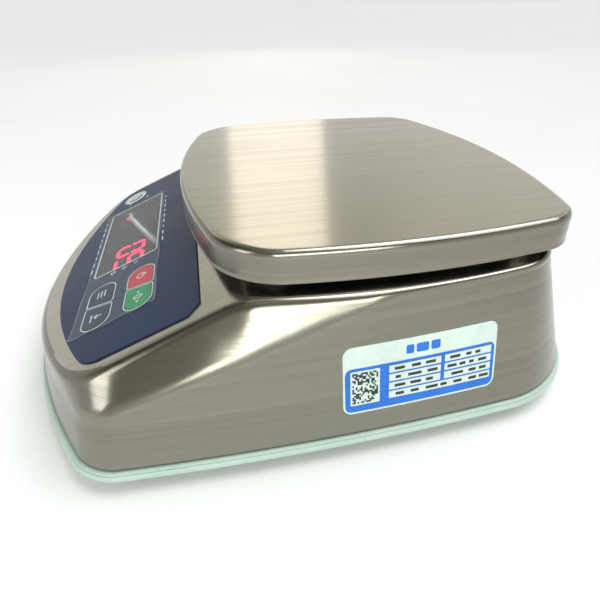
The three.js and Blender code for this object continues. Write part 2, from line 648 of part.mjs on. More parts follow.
const strapSide = battery.width / 2 + gap;
const strapTop = batteryTop + gap;
const strapLeg = (side) => block(strap.thickness, strap.width, plateTop + gap, strapTop + strap.thickness,
  batteryX + side * (strapSide + strap.thickness / 2), batteryY);
const strapToe = (side) => block(strap.toe, strap.width, plateTop + gap, plateTop + gap + strap.thickness,
  batteryX + side * (strapSide + strap.toe / 2), batteryY);
addPart('battery_strap', join(
  block(2 * (strapSide + strap.thickness), strap.width,
    strapTop, strapTop + strap.thickness, batteryX, batteryY),
  strapLeg(-1), strapLeg(1), strapToe(-1), strapToe(1),
), steel);

// Power socket in the rear wall, with its nut outside and a hinged rubber cap.
addPart('power_socket', cut(
  join(disc(jack.radius, -jack.length + 4, 3.6), disc(jack.flange, -sheet - 3.6, -sheet - 0.6)),
  disc(2.8, -6, 5, 0, 0, 16),
), blackPlastic, jackGroup);
const nutBlank = disc(jack.flange, 0.6, 3, 0, 0, 6);
addPart('socket_nut', cut(nutBlank, disc(jack.radius + gap, 0, 4)), zinc, jackGroup);
const capLow = 3.6 + gap;
addPart('socket_cap', join(
  disc(jack.flange - 0.5, capLow, capLow + 2),
  disc(2.4, capLow - 0.8, capLow + 1, 0, 0, 16),
  block(5, 7, capLow, capLow + 1.2, 0, jack.flange + 2),
), rubber, jackGroup);

// Rating label on the right-hand wall.
const labelSteps = 8;
const labelSections = Array.from({ length: labelSteps + 1 }, (_, i) => {
  const y = label.reach - bodyDepth / 2 + label.width * i / labelSteps;
  const outer = label.lift + label.thickness;
  return [
    wallPoint(y, label.low, label.lift), wallPoint(y, label.high, label.lift),
    wallPoint(y, label.high, outer), wallPoint(y, label.low, outer),
  ];
});
addPart('rating_label', toGeometry(toSolid(
  new LoftGeometry(labelSections, { capStart: true, capEnd: true }))), finish('#dfeae6', 0.4, 0));

export default scale;
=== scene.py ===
import json
import math
import random
import bpy
import bmesh
from mathutils import Matrix, Vector

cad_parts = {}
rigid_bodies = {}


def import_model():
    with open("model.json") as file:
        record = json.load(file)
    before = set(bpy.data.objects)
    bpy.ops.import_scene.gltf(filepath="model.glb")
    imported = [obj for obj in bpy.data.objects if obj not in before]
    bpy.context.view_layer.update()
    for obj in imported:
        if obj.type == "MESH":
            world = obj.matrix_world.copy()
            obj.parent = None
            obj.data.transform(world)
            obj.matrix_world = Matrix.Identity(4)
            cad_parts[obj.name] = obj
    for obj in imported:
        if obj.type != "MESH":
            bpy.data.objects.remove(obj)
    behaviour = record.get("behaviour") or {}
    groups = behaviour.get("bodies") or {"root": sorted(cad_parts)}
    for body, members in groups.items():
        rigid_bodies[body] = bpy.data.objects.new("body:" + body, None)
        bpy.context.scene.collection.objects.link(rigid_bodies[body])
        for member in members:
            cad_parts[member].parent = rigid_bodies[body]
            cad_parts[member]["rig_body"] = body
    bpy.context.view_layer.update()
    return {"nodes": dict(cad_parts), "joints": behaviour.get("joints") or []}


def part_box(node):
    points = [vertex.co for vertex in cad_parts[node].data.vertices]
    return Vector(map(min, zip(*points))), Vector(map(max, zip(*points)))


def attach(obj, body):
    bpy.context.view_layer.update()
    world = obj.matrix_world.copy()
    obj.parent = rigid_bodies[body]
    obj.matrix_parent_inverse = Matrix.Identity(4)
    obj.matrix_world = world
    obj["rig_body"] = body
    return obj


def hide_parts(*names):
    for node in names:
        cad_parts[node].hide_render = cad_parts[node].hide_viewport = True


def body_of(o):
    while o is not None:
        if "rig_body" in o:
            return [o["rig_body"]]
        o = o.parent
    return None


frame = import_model()

# Bench scale: shapes are worked out in millimetres and turned to metres when a piece is made
mm = 0.001
joints = {joint["name"]: joint for joint in frame["joints"]}


def boxOf(node):
    low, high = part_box(node)
    return low / mm, high / mm


def bodyOf(node):
    return body_of(frame["nodes"][node])[0]


# sRGB hex text to the linear colour that a shader wants
def linearColour(hexText):
    channels = [int(hexText[i:i + 2], 16) / 255 for i in (1, 3, 5)]
    return tuple(c / 12.92 if c <= 0.04045 else ((c + 0.055) / 1.055) ** 2.4 for c in channels) + (1.0,)


def addNode(tree, kind, settings=None, links=None):
    node = tree.nodes.new("ShaderNode" + kind)
    for key, value in (settings or {}).items():
        if isinstance(key, str) and hasattr(node, key):
            setattr(node, key, value)
        else:
            node.inputs[key].default_value = value
    for key, socket in (links or {}).items():
        tree.links.new(socket, node.inputs[key])
    return node


def newMaterial(name, settings):
    material = bpy.data.materials.new(name)
    material.use_nodes = True
    tree = material.node_tree
    tree.nodes.clear()
    shader = addNode(tree, "BsdfPrincipled", settings)
    addNode(tree, "OutputMaterial", {}, {"Surface": shader.outputs[0]})
    place = addNode(tree, "TexCoord").outputs["Object"]
    return material, tree, shader, place


# Stainless sheet brushed with a grit belt: long fine streaks that smear a highlight across the grain.
# The real scratches are about 0.2 mm wide, drawn wider so that they show.
steelFinish = {
    # the walls' tones are painted shade: the same steel is given a darker colour on the walls than on the
    # tops
    "topTones": ("#b4b0a4", "#bdb9ad"),
    "wallTones": ("#807d74", "#8b887e"),
    "roughness": (0.16, 0.23),
    "smudge": 0.05,
    "scratchWidth": 0.7,
    "scratchLength": 130,
    "bandWidth": 4,
    "smudgeSize": 60,
    "anisotropy": 0.65,
}


def brushedStainless(name, tones, acrossScale, tangentKind):
    material, tree, shader, place = newMaterial(name, {
        "Metallic": 1.0,
        "Anisotropic": steelFinish["anisotropy"],
    })
    fine, long, band = (1 / (steelFinish[key] * mm) for key in ("scratchWidth", "scratchLength", "bandWidth"))
    scratchScale = tuple(fine if across else long for across in acrossScale)
    bandScale = tuple(band if across else long / 4 for across in acrossScale)
    scratchPlace = addNode(tree, "VectorMath", {"operation": "MULTIPLY", 1: scratchScale}, {0: place})
    bandPlace = addNode(tree, "VectorMath", {"operation": "MULTIPLY", 1: bandScale}, {0: place})
    scratches = addNode(tree, "TexNoise", {"Scale": 1.0, "Detail": 4.0, "Roughness": 0.7},
                        {"Vector": scratchPlace.outputs[0]})
    bands = addNode(tree, "TexNoise", {"Scale": 1.0, "Detail": 2.0}, {"Vector": bandPlace.outputs[0]})
    smudges = addNode(tree, "TexNoise", {"Scale": 1 / (steelFinish["smudgeSize"] * mm), "Detail": 3.0},
                      {"Vector": place})
    streaks = addNode(tree, "Math", {"operation": "ADD"},
                      {0: scratches.outputs["Fac"], 1: bands.outputs["Fac"]})
    tone = addNode(tree, "MapRange", {"From Min": 0.75, "From Max": 1.25}, {"Value": streaks.outputs[0]})
    colour = addNode(tree, "Mix", {
        "data_type": "RGBA",
        6: linearColour(tones[0]),
        7: linearColour(tones[1]),
    }, {0: tone.outputs[0]})
    low, high = steelFinish["roughness"]
    satin = addNode(tree, "MapRange", {"From Min": 0.75, "From Max": 1.25, "To Min": high, "To Max": low},
                    {"Value": streaks.outputs[0]})
    touched = addNode(tree, "MapRange", {"From Min": 0.5, "From Max": 0.75, "To Max": steelFinish["smudge"]},
                      {"Value": smudges.outputs["Fac"]})
    roughness = addNode(tree, "Math", {"operation": "ADD"}, {0: satin.outputs[0], 1: touched.outputs[0]})
    relief = addNode(tree, "Bump", {"Strength": 0.05, "Distance": 0.02 * mm},
                     {"Height": scratches.outputs["Fac"]})
    if tangentKind == "across":
        tangent = addNode(tree, "CombineXYZ", {"X": 1.0})
    else:
        tangent = addNode(tree, "Tangent", {"direction_type": "RADIAL", "axis": "Z"})
        shader.inputs["Anisotropic Rotation"].default_value = 0.25
    tree.links.new(tangent.outputs[0], shader.inputs["Tangent"])
    tree.links.new(colour.outputs[2], shader.inputs["Base Color"])
    tree.links.new(roughness.outputs[0], shader.inputs["Roughness"])
    tree.links.new(relief.outputs[0], shader.inputs["Normal"])
    return material


# Everything that isn't brushed: a base colour with fine and broad variation, and a grain that breaks the
# gloss. grain and mottle are sizes in millimetres.
finishes = {
    # silicone: soft satin, pale mint, light gets a little way in
    "mouldedSilicone": dict(light="#b6c9bf", dark="#a4b9ae", roughness=(0.38, 0.5), grain=0.8, mottle=18,
                            relief=0.05, extra={"IOR": 1.41, "Subsurface Weight": 0.12,
                                                "Subsurface Radius": (0.004, 0.004, 0.004)}),
    # polyester film, printed behind a fine matt texture
    "texturedPolyesterNavy": dict(light="#243250", dark="#1b2742", roughness=(0.3, 0.42), grain=0.45,
                                  mottle=30, relief=0.1, extra={"IOR": 1.57, "Specular IOR Level": 0.15}),
    "texturedPolyesterRed": dict(light="#d23440", dark="#bd2633", roughness=(0.32, 0.42), grain=0.45,
                                 mottle=8, relief=0.1, extra={"IOR": 1.57, "Specular IOR Level": 0.15}),
    "texturedPolyesterGreen": dict(light="#149a55", dark="#0d8447", roughness=(0.32, 0.42), grain=0.45,
                                   mottle=8, relief=0.1, extra={"IOR": 1.57, "Specular IOR Level": 0.15}),
    "texturedPolyesterInk": dict(light="#1a2340", dark="#121930", roughness=(0.32, 0.42), grain=0.45,
                                 mottle=8, relief=0.1, extra={"IOR": 1.57, "Specular IOR Level": 0.15}),
    # screen ink: flat and slightly uneven in cover
    "screenInkWhite": dict(light="#dbe6e4", dark="#bccac9", roughness=(0.45, 0.6), grain=0.5, mottle=4,
                           relief=0.05, extra={}),
    # nitrile rubber, moulded: dull black with a grey bloom
    "mouldedRubber": dict(light="#2a2b2c", dark="#1a1b1c", roughness=(0.6, 0.8), grain=0.5, mottle=9,
                          relief=0.25, extra={"IOR": 1.52}),
    # zinc plate on steel: cool grey with a faint crystal mottle
    "zincPlate": dict(light="#b4b8bb", dark="#8f9498", roughness=(0.3, 0.48), grain=0.7, mottle=3,
                      relief=0.1, extra={"Metallic": 1.0}),
    # cast and milled aluminium: pale, slightly pitted
    "castAluminium": dict(light="#c3c5c6", dark="#a4a7a9", roughness=(0.4, 0.58), grain=0.9, mottle=12,
                          relief=0.3, extra={"Metallic": 1.0}),
    # mill-finish stainless under the scale and round the battery
    "rolledStainless": dict(light="#aaa79f", dark="#8d8a84", roughness=(0.35, 0.5), grain=0.6, mottle=25,
                            relief=0.1, extra={"Metallic": 1.0}),
    # glass-fibre board under solder mask: green with woven show-through
    "solderMask": dict(light="#22704a", dark="#164a33", roughness=(0.28, 0.45), grain=0.6, mottle=5,
                       relief=0.2, extra={"IOR": 1.52}),
    # ABS, moulded with a fine spark texture
    "mouldedAbs": dict(light="#2b2d31", dark="#1b1d20", roughness=(0.42, 0.6), grain=0.5, mottle=14,
                       relief=0.25, extra={"IOR": 1.54}),
    # vinyl label, white face stock and printed blue and black
    "vinylWhite": dict(light="#ccdad6", dark="#bccbc6", roughness=(0.22, 0.34), grain=0.6, mottle=16,
                       relief=0.04, extra={"IOR": 1.53}),
    "vinylBlue": dict(light="#0f6bd0", dark="#0a5cba", roughness=(0.22, 0.34), grain=0.6, mottle=16,
                      relief=0.04, extra={"IOR": 1.53}),
    "vinylBlack": dict(light="#24292c", dark="#14181a", roughness=(0.25, 0.36), grain=0.6, mottle=6,
                       relief=0.04, extra={"IOR": 1.53}),
    # the face of a display block: smooth dark filter plastic
    "filterPlastic": dict(light="#5f5550", dark="#574e49", roughness=(0.35, 0.45), grain=1.2, mottle=20,
                          relief=0.01, extra={"IOR": 1.54, "Specular IOR Level": 0.3}),
    # an LED bar that is off, seen through red-tinted epoxy
    "ledOff": dict(light="#544745", dark="#4d4240", roughness=(0.3, 0.4), grain=0.6, mottle=5,
                   relief=0.05, extra={"IOR": 1.5}),
    # spirit in the level: clear green
    "levelSpirit": dict(light="#cfe3b4", dark="#b5d094", roughness=(0.08, 0.14), grain=1.0, mottle=4,
                        relief=0.02, extra={"IOR": 1.36}),
    # paper-white floor of a studio
    "studioPaper": dict(light="#f0f1f2", dark="#ebeced", roughness=(0.6, 0.75), grain=2.5, mottle=300,
                        relief=0.05, extra={}),
}


def finishMaterial(name):
    finish = finishes[name]
    material, tree, shader, place = newMaterial(name, finish["extra"])
    grain = addNode(tree, "TexNoise", {"Scale": 1 / (finish["grain"] * mm), "Detail": 3.0, "Roughness": 0.6},
                    {"Vector": place})
    mottle = addNode(tree, "TexNoise", {"Scale": 1 / (finish["mottle"] * mm), "Detail": 4.0},
                     {"Vector": place})
    mixed = addNode(tree, "Math", {"operation": "ADD"},
                    {0: grain.outputs["Fac"], 1: mottle.outputs["Fac"]})
    tone = addNode(tree, "MapRange", {"From Min": 0.7, "From Max": 1.3}, {"Value": mixed.outputs[0]})
    colour = addNode(tree, "Mix", {
        "data_type": "RGBA",
        6: linearColour(finish["dark"]),
        7: linearColour(finish["light"]),
    }, {0: tone.outputs[0]})
    low, high = finish["roughness"]
    satin = addNode(tree, "MapRange", {"From Min": 0.7, "From Max": 1.3, "To Min": low, "To Max": high},
                    {"Value": mixed.outputs[0]})
    relief = addNode(tree, "Bump", {"Strength": finish["relief"], "Distance": 0.1 * mm},
                     {"Height": grain.outputs["Fac"]})
    tree.links.new(colour.outputs[2], shader.inputs["Base Color"])
    tree.links.new(satin.outputs[0], shader.inputs["Roughness"])
    tree.links.new(relief.outputs[0], shader.inputs["Normal"])
    return material


# A lit LED bar: pink-red, with a slightly uneven glow
def litLed():
    material, tree, shader, place = newMaterial("litLed", {"Roughness": 0.3, "Emission Strength": 14.0})
    flicker = addNode(tree, "TexNoise", {"Scale": 1 / (3 * mm), "Detail": 1.0}, {"Vector": place})
    colour = addNode(tree, "Mix", {
        "data_type": "RGBA",
        6: linearColour("#ff1650"),
        7: linearColour("#ff3b6c"),
    }, {0: flicker.outputs["Fac"]})
    tree.links.new(colour.outputs[2], shader.inputs["Base Color"])
    tree.links.new(colour.outputs[2], shader.inputs["Emission Color"])
    return material


# Smoked acrylic: satin-smooth and half see-through, with a warm grey body
def smokedAcrylic():
    material, tree, shader, place = newMaterial("smokedAcrylic", {
        "IOR": 1.49, "Alpha": 0.6, "Specular IOR Level": 0.3})
    haze = addNode(tree, "TexNoise", {"Scale": 1 / (22 * mm), "Detail": 4.0}, {"Vector": place})
    colour = addNode(tree, "Mix", {
        "data_type": "RGBA",
        6: linearColour("#574d48"),
        7: linearColour("#5f554f"),
    }, {0: haze.outputs["Fac"]})
    gloss = addNode(tree, "MapRange", {"To Min": 0.16, "To Max": 0.24}, {"Value": haze.outputs["Fac"]})
    tree.links.new(colour.outputs[2], shader.inputs["Base Color"])
    tree.links.new(gloss.outputs[0], shader.inputs["Roughness"])
    return material


# Clear acrylic dome of the level: colourless, polished
def clearAcrylic():
    material, tree, shader, place = newMaterial("clearAcrylic", {
        "IOR": 1.49, "Transmission Weight": 0.95})
    swirl = addNode(tree, "TexNoise", {"Scale": 1 / (6 * mm), "Detail": 2.0}, {"Vector": place})
    colour = addNode(tree, "Mix", {
        "data_type": "RGBA",
        6: linearColour("#f2f8f5"),
        7: linearColour("#ffffff"),
    }, {0: swirl.outputs["Fac"]})
    gloss = addNode(tree, "MapRange", {"To Min": 0.01, "To Max": 0.06}, {"Value": swirl.outputs["Fac"]})
    tree.links.new(colour.outputs[2], shader.inputs["Base Color"])
    tree.links.new(gloss.outputs[0], shader.inputs["Roughness"])
    return material


# Polyethylene transit film: a milky veil, with a painted highlight, whiter and more opaque, along the
# crease's ridge and round its edges
def transitFilm():
    material, tree, shader, place = newMaterial("transitFilm", {
        "IOR": 1.51, "Specular IOR Level": 0.25})
    crease = addNode(tree, "Attribute", {"attribute_name": "crease"})
    scuffs = addNode(tree, "TexNoise", {"Scale": 1 / (9 * mm), "Detail": 5.0, "Roughness": 0.65},
                     {"Vector": place})
    # the crease attribute paints a highlight: near-white colour and more opacity along the ridge and the
    # film's edges
    colour = addNode(tree, "Mix", {
        "data_type": "RGBA",
        6: linearColour("#8d9aa3"),
        7: linearColour("#eef3f4"),
    }, {0: crease.outputs["Fac"]})
    veil = addNode(tree, "MapRange", {"To Min": 0.05, "To Max": 0.14}, {"Value": scuffs.outputs["Fac"]})
    veilAndHighlight = addNode(tree, "Math", {"operation": "MULTIPLY_ADD", 1: 0.55},
                       {0: crease.outputs["Fac"], 2: veil.outputs[0]})
    gloss = addNode(tree, "MapRange", {"To Min": 0.12, "To Max": 0.3}, {"Value": scuffs.outputs["Fac"]})
    relief = addNode(tree, "Bump", {"Strength": 0.15, "Distance": 0.3 * mm},
                     {"Height": scuffs.outputs["Fac"]})
    tree.links.new(colour.outputs[2], shader.inputs["Base Color"])
    tree.links.new(veilAndHighlight.outputs[0], shader.inputs["Alpha"])
    tree.links.new(gloss.outputs[0], shader.inputs["Roughness"])
    tree.links.new(relief.outputs[0], shader.inputs["Normal"])
    return material


materials = {name: finishMaterial(name) for name in finishes}
materials["litLed"] = litLed()
materials["smokedAcrylic"] = smokedAcrylic()
materials["clearAcrylic"] = clearAcrylic()
materials["transitFilm"] = transitFilm()
# The tops are brushed front to back, and the walls round the body; the walls also carry painted shade, a
# darker colour than the tops of the same steel
materials["steelTop"] = brushedStainless(
    "brushedStainlessTop", steelFinish["topTones"], (True, False, True), "across")
materials["steelWall"] = brushedStainless(
    "brushedStainlessWall", steelFinish["wallTones"], (False, False, True), "round")
print("materials", len(materials))


# A shape is a pair: vertices in millimetres, and faces
def joined(shapes):
    vertices = []
    faces = []
    for shapeVertices, shapeFaces in shapes:
        start = len(vertices)
        vertices.extend(shapeVertices)
        faces.extend([tuple(start + i for i in face) for face in shapeFaces])
    return vertices, faces


def moved(shape, matrix):
    vertices, faces = shape
    return [matrix @ Vector(v) for v in vertices], faces


def meshOf(shape, weld=0.002):
    vertices, faces = shape
    mesh = bpy.data.meshes.new("shape")
    mesh.from_pydata([Vector(v) * mm for v in vertices], [], faces)
    work = bmesh.new()
    work.from_mesh(mesh)
    bmesh.ops.remove_doubles(work, verts=work.verts, dist=weld * mm)
    bmesh.ops.recalc_face_normals(work, faces=work.faces)
    work.to_mesh(mesh)
    work.free()
    return mesh


def withModifiers(mesh, modifiers):
    holder = bpy.data.objects.new("holder", mesh)
    bpy.context.scene.collection.objects.link(holder)
    for kind, settings in modifiers:
        modifier = holder.modifiers.new(kind, kind)
        for key, value in settings.items():
            setattr(modifier, key, value)
    graph = bpy.context.evaluated_depsgraph_get()
    result = bpy.data.meshes.new_from_object(holder.evaluated_get(graph))
    bpy.data.objects.remove(holder)
    return result


def withoutCutters(mesh, cutters):
    holders = []
    for shape in cutters:
        holder = bpy.data.objects.new("cutter", meshOf(shape))
        bpy.context.scene.collection.objects.link(holder)
        holders.append(holder)
    result = withModifiers(mesh, [
        ("BOOLEAN", {"operation": "DIFFERENCE", "solver": "EXACT", "object": holder}) for holder in holders])
    for holder in holders:
        bpy.data.objects.remove(holder)
    return result


def makePiece(name, mesh, materialNames, body, replaced=(), sharpAngle=32, even=False):
    mesh.name = name
    mesh.materials.clear()
    for materialName in materialNames:
        mesh.materials.append(materials[materialName])
    for face in mesh.polygons:
        face.use_smooth = True
    mesh.set_sharp_from_angle(angle=math.radians(sharpAngle))
    piece = bpy.data.objects.new(name, mesh)
    bpy.context.scene.collection.objects.link(piece)
    if even:
        weighted = piece.modifiers.new("even", "WEIGHTED_NORMAL")
        weighted.keep_sharp = True
    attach(piece, body)
    if replaced:
        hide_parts(*replaced)
    return piece


def loft(rows, closedRows=True, closedEnds=False):
    count = len(rows[0])
    vertices = [point for row in rows for point in row]
    faces = []
    rowPairs = len(rows) if closedEnds else len(rows) - 1
    for r in range(rowPairs):
        nextRow = (r + 1) % len(rows)
        for i in range(count if closedRows else count - 1):
            j = (i + 1) % count
            faces.append((r * count + i, r * count + j, nextRow * count + j, nextRow * count + i))
    return vertices, faces


def lathe(profile, x=0.0, y=0.0, steps=48):
    rows = []
    for r, z in profile:
        angles = [2 * math.pi * i / steps for i in range(steps)]
        rows.append([(x + max(r, 1e-4) * math.cos(a), y + max(r, 1e-4) * math.sin(a), z) for a in angles])
    vertices, faces = loft(rows)
    if profile[0] != profile[-1]:
        faces.append(tuple(reversed(range(steps))))
        faces.append(tuple(range(len(vertices) - steps, len(vertices))))
    return vertices, faces


# A flat plate with bevelled edges, filled between its outer loops and its holes
def plate(loops, low, high, bevel=0.0):
    curve = bpy.data.curves.new("plate", "CURVE")
    curve.dimensions = "2D"
    curve.fill_mode = "BOTH"
    curve.extrude = (high - low) / 2 - bevel
    curve.bevel_depth = bevel
    curve.bevel_resolution = 2
    curve.offset = -bevel
    for loop in loops:
        spline = curve.splines.new("POLY")
        spline.points.add(len(loop) - 1)
        spline.use_cyclic_u = True
        for point, (x, y) in zip(spline.points, loop):
            point.co = (x, y, 0, 1)
    holder = bpy.data.objects.new("plate", curve)
    bpy.context.scene.collection.objects.link(holder)
    graph = bpy.context.evaluated_depsgraph_get()
    mesh = bpy.data.meshes.new_from_object(holder.evaluated_get(graph))
    bpy.data.objects.remove(holder)
    middle = (low + high) / 2
    vertices = [v.co + Vector((0, 0, middle)) for v in mesh.vertices]
    faces = [tuple(face.vertices) for face in mesh.polygons]
    return vertices, faces


def roundedLoop(left, right, bottom, top, radius, steps=8):
    points = []
    for cx, cy, start in ((right - radius, bottom + radius, -90), (right - radius, top - radius, 0),
                          (left + radius, top - radius, 90), (left + radius, bottom + radius, 180)):
        for i in range(steps + 1):
            a = math.radians(start + 90 * i / steps)
            points.append((cx + radius * math.cos(a), cy + radius * math.sin(a)))
    return points


def discLoop(x, y, radius, steps=40, squash=1.0):
    angles = [2 * math.pi * i / steps for i in range(steps)]
    return [(x + radius * math.cos(a), y + radius * squash * math.sin(a)) for a in angles]


def strokeLoop(x0, y0, x1, y1, width):
    along = Vector((x1 - x0, y1 - y0)).normalized() * width / 2
    side = Vector((-along.y, along.x))
    start = Vector((x0, y0))
    end = Vector((x1, y1))
    tips = (start - side, end - side, end + along * 0.6 - side * 0.4, end + along * 0.6 + side * 0.4,
            end + side, start + side, start - along * 0.6 + side * 0.4, start - along * 0.6 - side * 0.4)
    return [(tip.x, tip.y) for tip in tips]


# An outline in plan has bowed sides and rounded corners.
# It is worked out as its right-hand half, from front to rear.
ringSteps = {"front": 34, "corner": 16, "side": 96, "rear": 28}
cornerPull = 0.55


def halfOutline(shape, inset=0.0):
    front = shape["front"] - inset
    rear = shape["rear"] - inset
    corners = [Vector((-front, shape["frontY"] + inset)), Vector((front, shape["frontY"] + inset)),
               Vector((rear, shape["rearY"] - inset)), Vector((-rear, shape["rearY"] - inset))]
    bows = (shape["frontBow"], shape["sideBow"], shape["rearBow"])

    def onSide(side, t):
        start = corners[side]
        chord = corners[side + 1] - start
        bowStart = shape.get("bowStart", 0) if side == 1 else 0
        q = max(0, (t - bowStart) / (1 - bowStart))
        outward = Vector((chord.y, -chord.x)).normalized()
        return start + chord * t + outward * (bows[side] * 4 * q * (1 - q))

    def trimAt(corner, radius):
        step = 1e-3
        arriving = (corners[corner] - onSide(corner - 1, 1 - step)).normalized()
        leaving = (onSide(corner, step) - corners[corner]).normalized()
        return radius * math.tan(math.acos(min(1, arriving.dot(leaving))) / 2)

    lengths = [(corners[i + 1] - corners[i]).length for i in range(3)]
    frontTrim = trimAt(1, max(shape["frontRadius"] - inset, 0.5))
    rearTrim = trimAt(2, max(shape["rearRadius"] - inset, 0.5))

    def rounding(before, corner, after, straight=False):
        if straight:
            return []
        points = []
        for i in range(1, ringSteps["corner"]):
            t = i / ringSteps["corner"]
            a = before.lerp(corner, cornerPull)
            b = after.lerp(corner, cornerPull)
            points.append(before * (1 - t) ** 3 + a * 3 * t * (1 - t) ** 2
                          + b * 3 * t * t * (1 - t) + after * t ** 3)
        return points

    def stretch(side, first, last, count):
        return [onSide(side, first + (last - first) * i / count) for i in range(count + 1)]

    frontSide = stretch(0, 0.5, 1 - min(frontTrim / lengths[0], 0.48), ringSteps["front"])
    rightSide = stretch(1, min(frontTrim / lengths[1], 0.48), 1 - min(rearTrim / lengths[1], 0.48),
                        ringSteps["side"])
    rearSide = stretch(2, min(rearTrim / lengths[2], 0.48), 0.5, ringSteps["rear"])
    return (frontSide + rounding(frontSide[-1], corners[1], rightSide[0]) + rightSide
            + rounding(rightSide[-1], corners[2], rearSide[0], shape.get("rearCut", False)) + rearSide)


# The outline at one height, or at the height that a function gives for each y
def halfRow(shape, inset, height):
    heightAt = height if callable(height) else lambda y: height
    return [Vector((p.x, p.y, heightAt(p.y))) for p in halfOutline(shape, inset)]


def smoothed(row, rounds):
    for _ in range(rounds):
        inner = [(row[i - 1] + row[i] * 2 + row[i + 1]) / 4 for i in range(1, len(row) - 1)]
        row = [row[0]] + inner + [row[-1]]
    return row


def mixedRow(first, second, share):
    return [a.lerp(b, share) for a, b in zip(first, second)]


# A rounded bend between two rows, with a third row as the corner it cuts
def bendRows(before, corner, after, steps):
    rows = []
    for i in range(1, steps):
        t = i / steps
        rows.append([a * (1 - t) ** 2 + c * 2 * t * (1 - t) + b * t * t
                     for a, c, b in zip(before, corner, after)])
    return rows


def wholeRing(half):
    mirrored = [Vector((-p.x, p.y, p.z)) for p in reversed(half[1:-1])]
    return half + mirrored


# The top inside a ring: a strip across from each right-hand point to its mirror
def crossFill(half, columns=18):
    rows = [[Vector((p.x * (1 - 2 * i / columns), p.y, p.z)) for i in range(columns + 1)] for p in half[1:-1]]
    vertices, faces = loft(rows, closedRows=False)
    frontTip = len(vertices)
    rearTip = frontTip + 1
    vertices += [half[0], half[-1]]
    last = (len(rows) - 1) * (columns + 1)
    for i in range(columns):
        faces.append((i + 1, i, frontTip))
        faces.append((last + i, last + i + 1, rearTip))
    return vertices, faces


# The housing's shape, from the frame's boxes and the same bows and radii as the design
body = {
    "frontBow": 40.5,
    "sideBow": 5.6,
    "rearBow": 15.5,
    "bowLead": 2.8,  # how far the bowed side stands out past the front corner
    "rearTaper": 6.4,
    "frontRadius": 23.3,
    "rearRadius": 63.3,
    "beadWidth": 2,  # how far the gasket's bead stands out from the steel
    "wallLean": 10.6,
    "rearLean": 20,
    "ridgeInset": 17,
    "deckBow": 9.2,
    "panelBow": 34.9,
    "panelLead": 2.4,
    "creaseFront": 23.4,
    "creaseRise": 0.302,
    "creaseSoft": 3.5,  # half the width of the rounding along the crease
    "bendRadius": 3.5,
    "sheet": 1.2,
    "panelBend": 2.5,  # half the width of the bend between deck and panel
    "wallTaper": 3,  # how much more the walls draw in at the rear than at the front
    "wallSideBow": 7.4,
    "wallRearBow": 15.6,
    "wallFrontRadius": 18,
    "wallRearRadius": 33.6,
    "ridgeRadius": 29,
    "ridgeBowStart": 0.3,
    "ridgeSmoothing": 12,
    "creaseSmoothing": 6,
    "lip": 1.0,  # rounding along the bottom of the walls
}
gap = 0.3
shellLow, shellHigh = boxOf("housing_shell")
gasketLow, gasketHigh = boxOf("base_gasket")
overlayHigh = boxOf("panel_overlay")[1]
pressAxis = joints["key_off_press"]["axis"]
panelSlope = math.atan2(pressAxis[1], -pressAxis[2])
panelTop = {"firstEdge": 20.5, "lift": gap}  # the overlay's upper edge, down from the bend
bendY = overlayHigh.y + panelTop["firstEdge"] * math.cos(panelSlope) + panelTop["lift"] * math.sin(panelSlope)
deckHeight = shellHigh.z
shellBottom = shellLow.z
wallTop = deckHeight - body["bendRadius"]

gasketOutline = {
    "front": gasketHigh.x - body["bowLead"],
    "rear": gasketHigh.x - body["bowLead"] - body["rearTaper"],
    "frontY": gasketLow.y + body["frontBow"],
    "rearY": gasketHigh.y - body["rearBow"],
    "frontBow": body["frontBow"],
    "sideBow": body["sideBow"],
    "rearBow": body["rearBow"],
    "frontRadius": body["frontRadius"],
    "rearRadius": body["rearRadius"],
}
bead = body["beadWidth"]
baseOutline = {**gasketOutline, "front": gasketOutline["front"] - bead, "rear": gasketOutline["rear"] - bead,
               "frontY": gasketOutline["frontY"] + bead, "rearY": gasketOutline["rearY"] - bead,
               "frontRadius": body["frontRadius"] - bead, "rearRadius": body["rearRadius"] - bead}
wallOutline = {**baseOutline, "front": baseOutline["front"] - body["wallLean"],
               "rear": baseOutline["rear"] - body["wallLean"] - body["wallTaper"],
               "frontY": baseOutline["frontY"] + body["wallLean"],
               "rearY": baseOutline["rearY"] - body["rearLean"],
               "sideBow": body["wallSideBow"], "rearBow": body["wallRearBow"],
               "frontRadius": body["wallFrontRadius"], "rearRadius": body["wallRearRadius"]}
ridgeOutline = {**wallOutline, "front": baseOutline["front"] - body["ridgeInset"],
                "frontY": baseOutline["frontY"] - body["panelLead"], "frontBow": body["panelBow"],
                "sideBow": body["deckBow"], "bowStart": body["ridgeBowStart"],
                "frontRadius": body["ridgeRadius"]}


def topHeight(y):
    ahead = bendY - y
    soft = body["panelBend"]
    if ahead < -soft:
        drop = 0
    elif ahead > soft:
        drop = ahead
    else:
        drop = (ahead + soft) ** 2 / (4 * soft)
    return deckHeight - drop * math.tan(panelSlope)


def creaseRow(base, wall, ridge):
    steelFront = baseOutline["frontY"] - body["frontBow"]
    row = []
    for start, top, edge in zip(base, wall, ridge):
        rise = top.z - start.z
        height = body["creaseFront"] + body["creaseRise"] * (start.y - steelFront)
        aimed = (height - start.z) / (rise - body["creaseRise"] * (top.y - start.y))
        highest = (edge.z - body["bendRadius"] - start.z) / rise
        row.append(start.lerp(top, min(aimed, highest)))
    return row


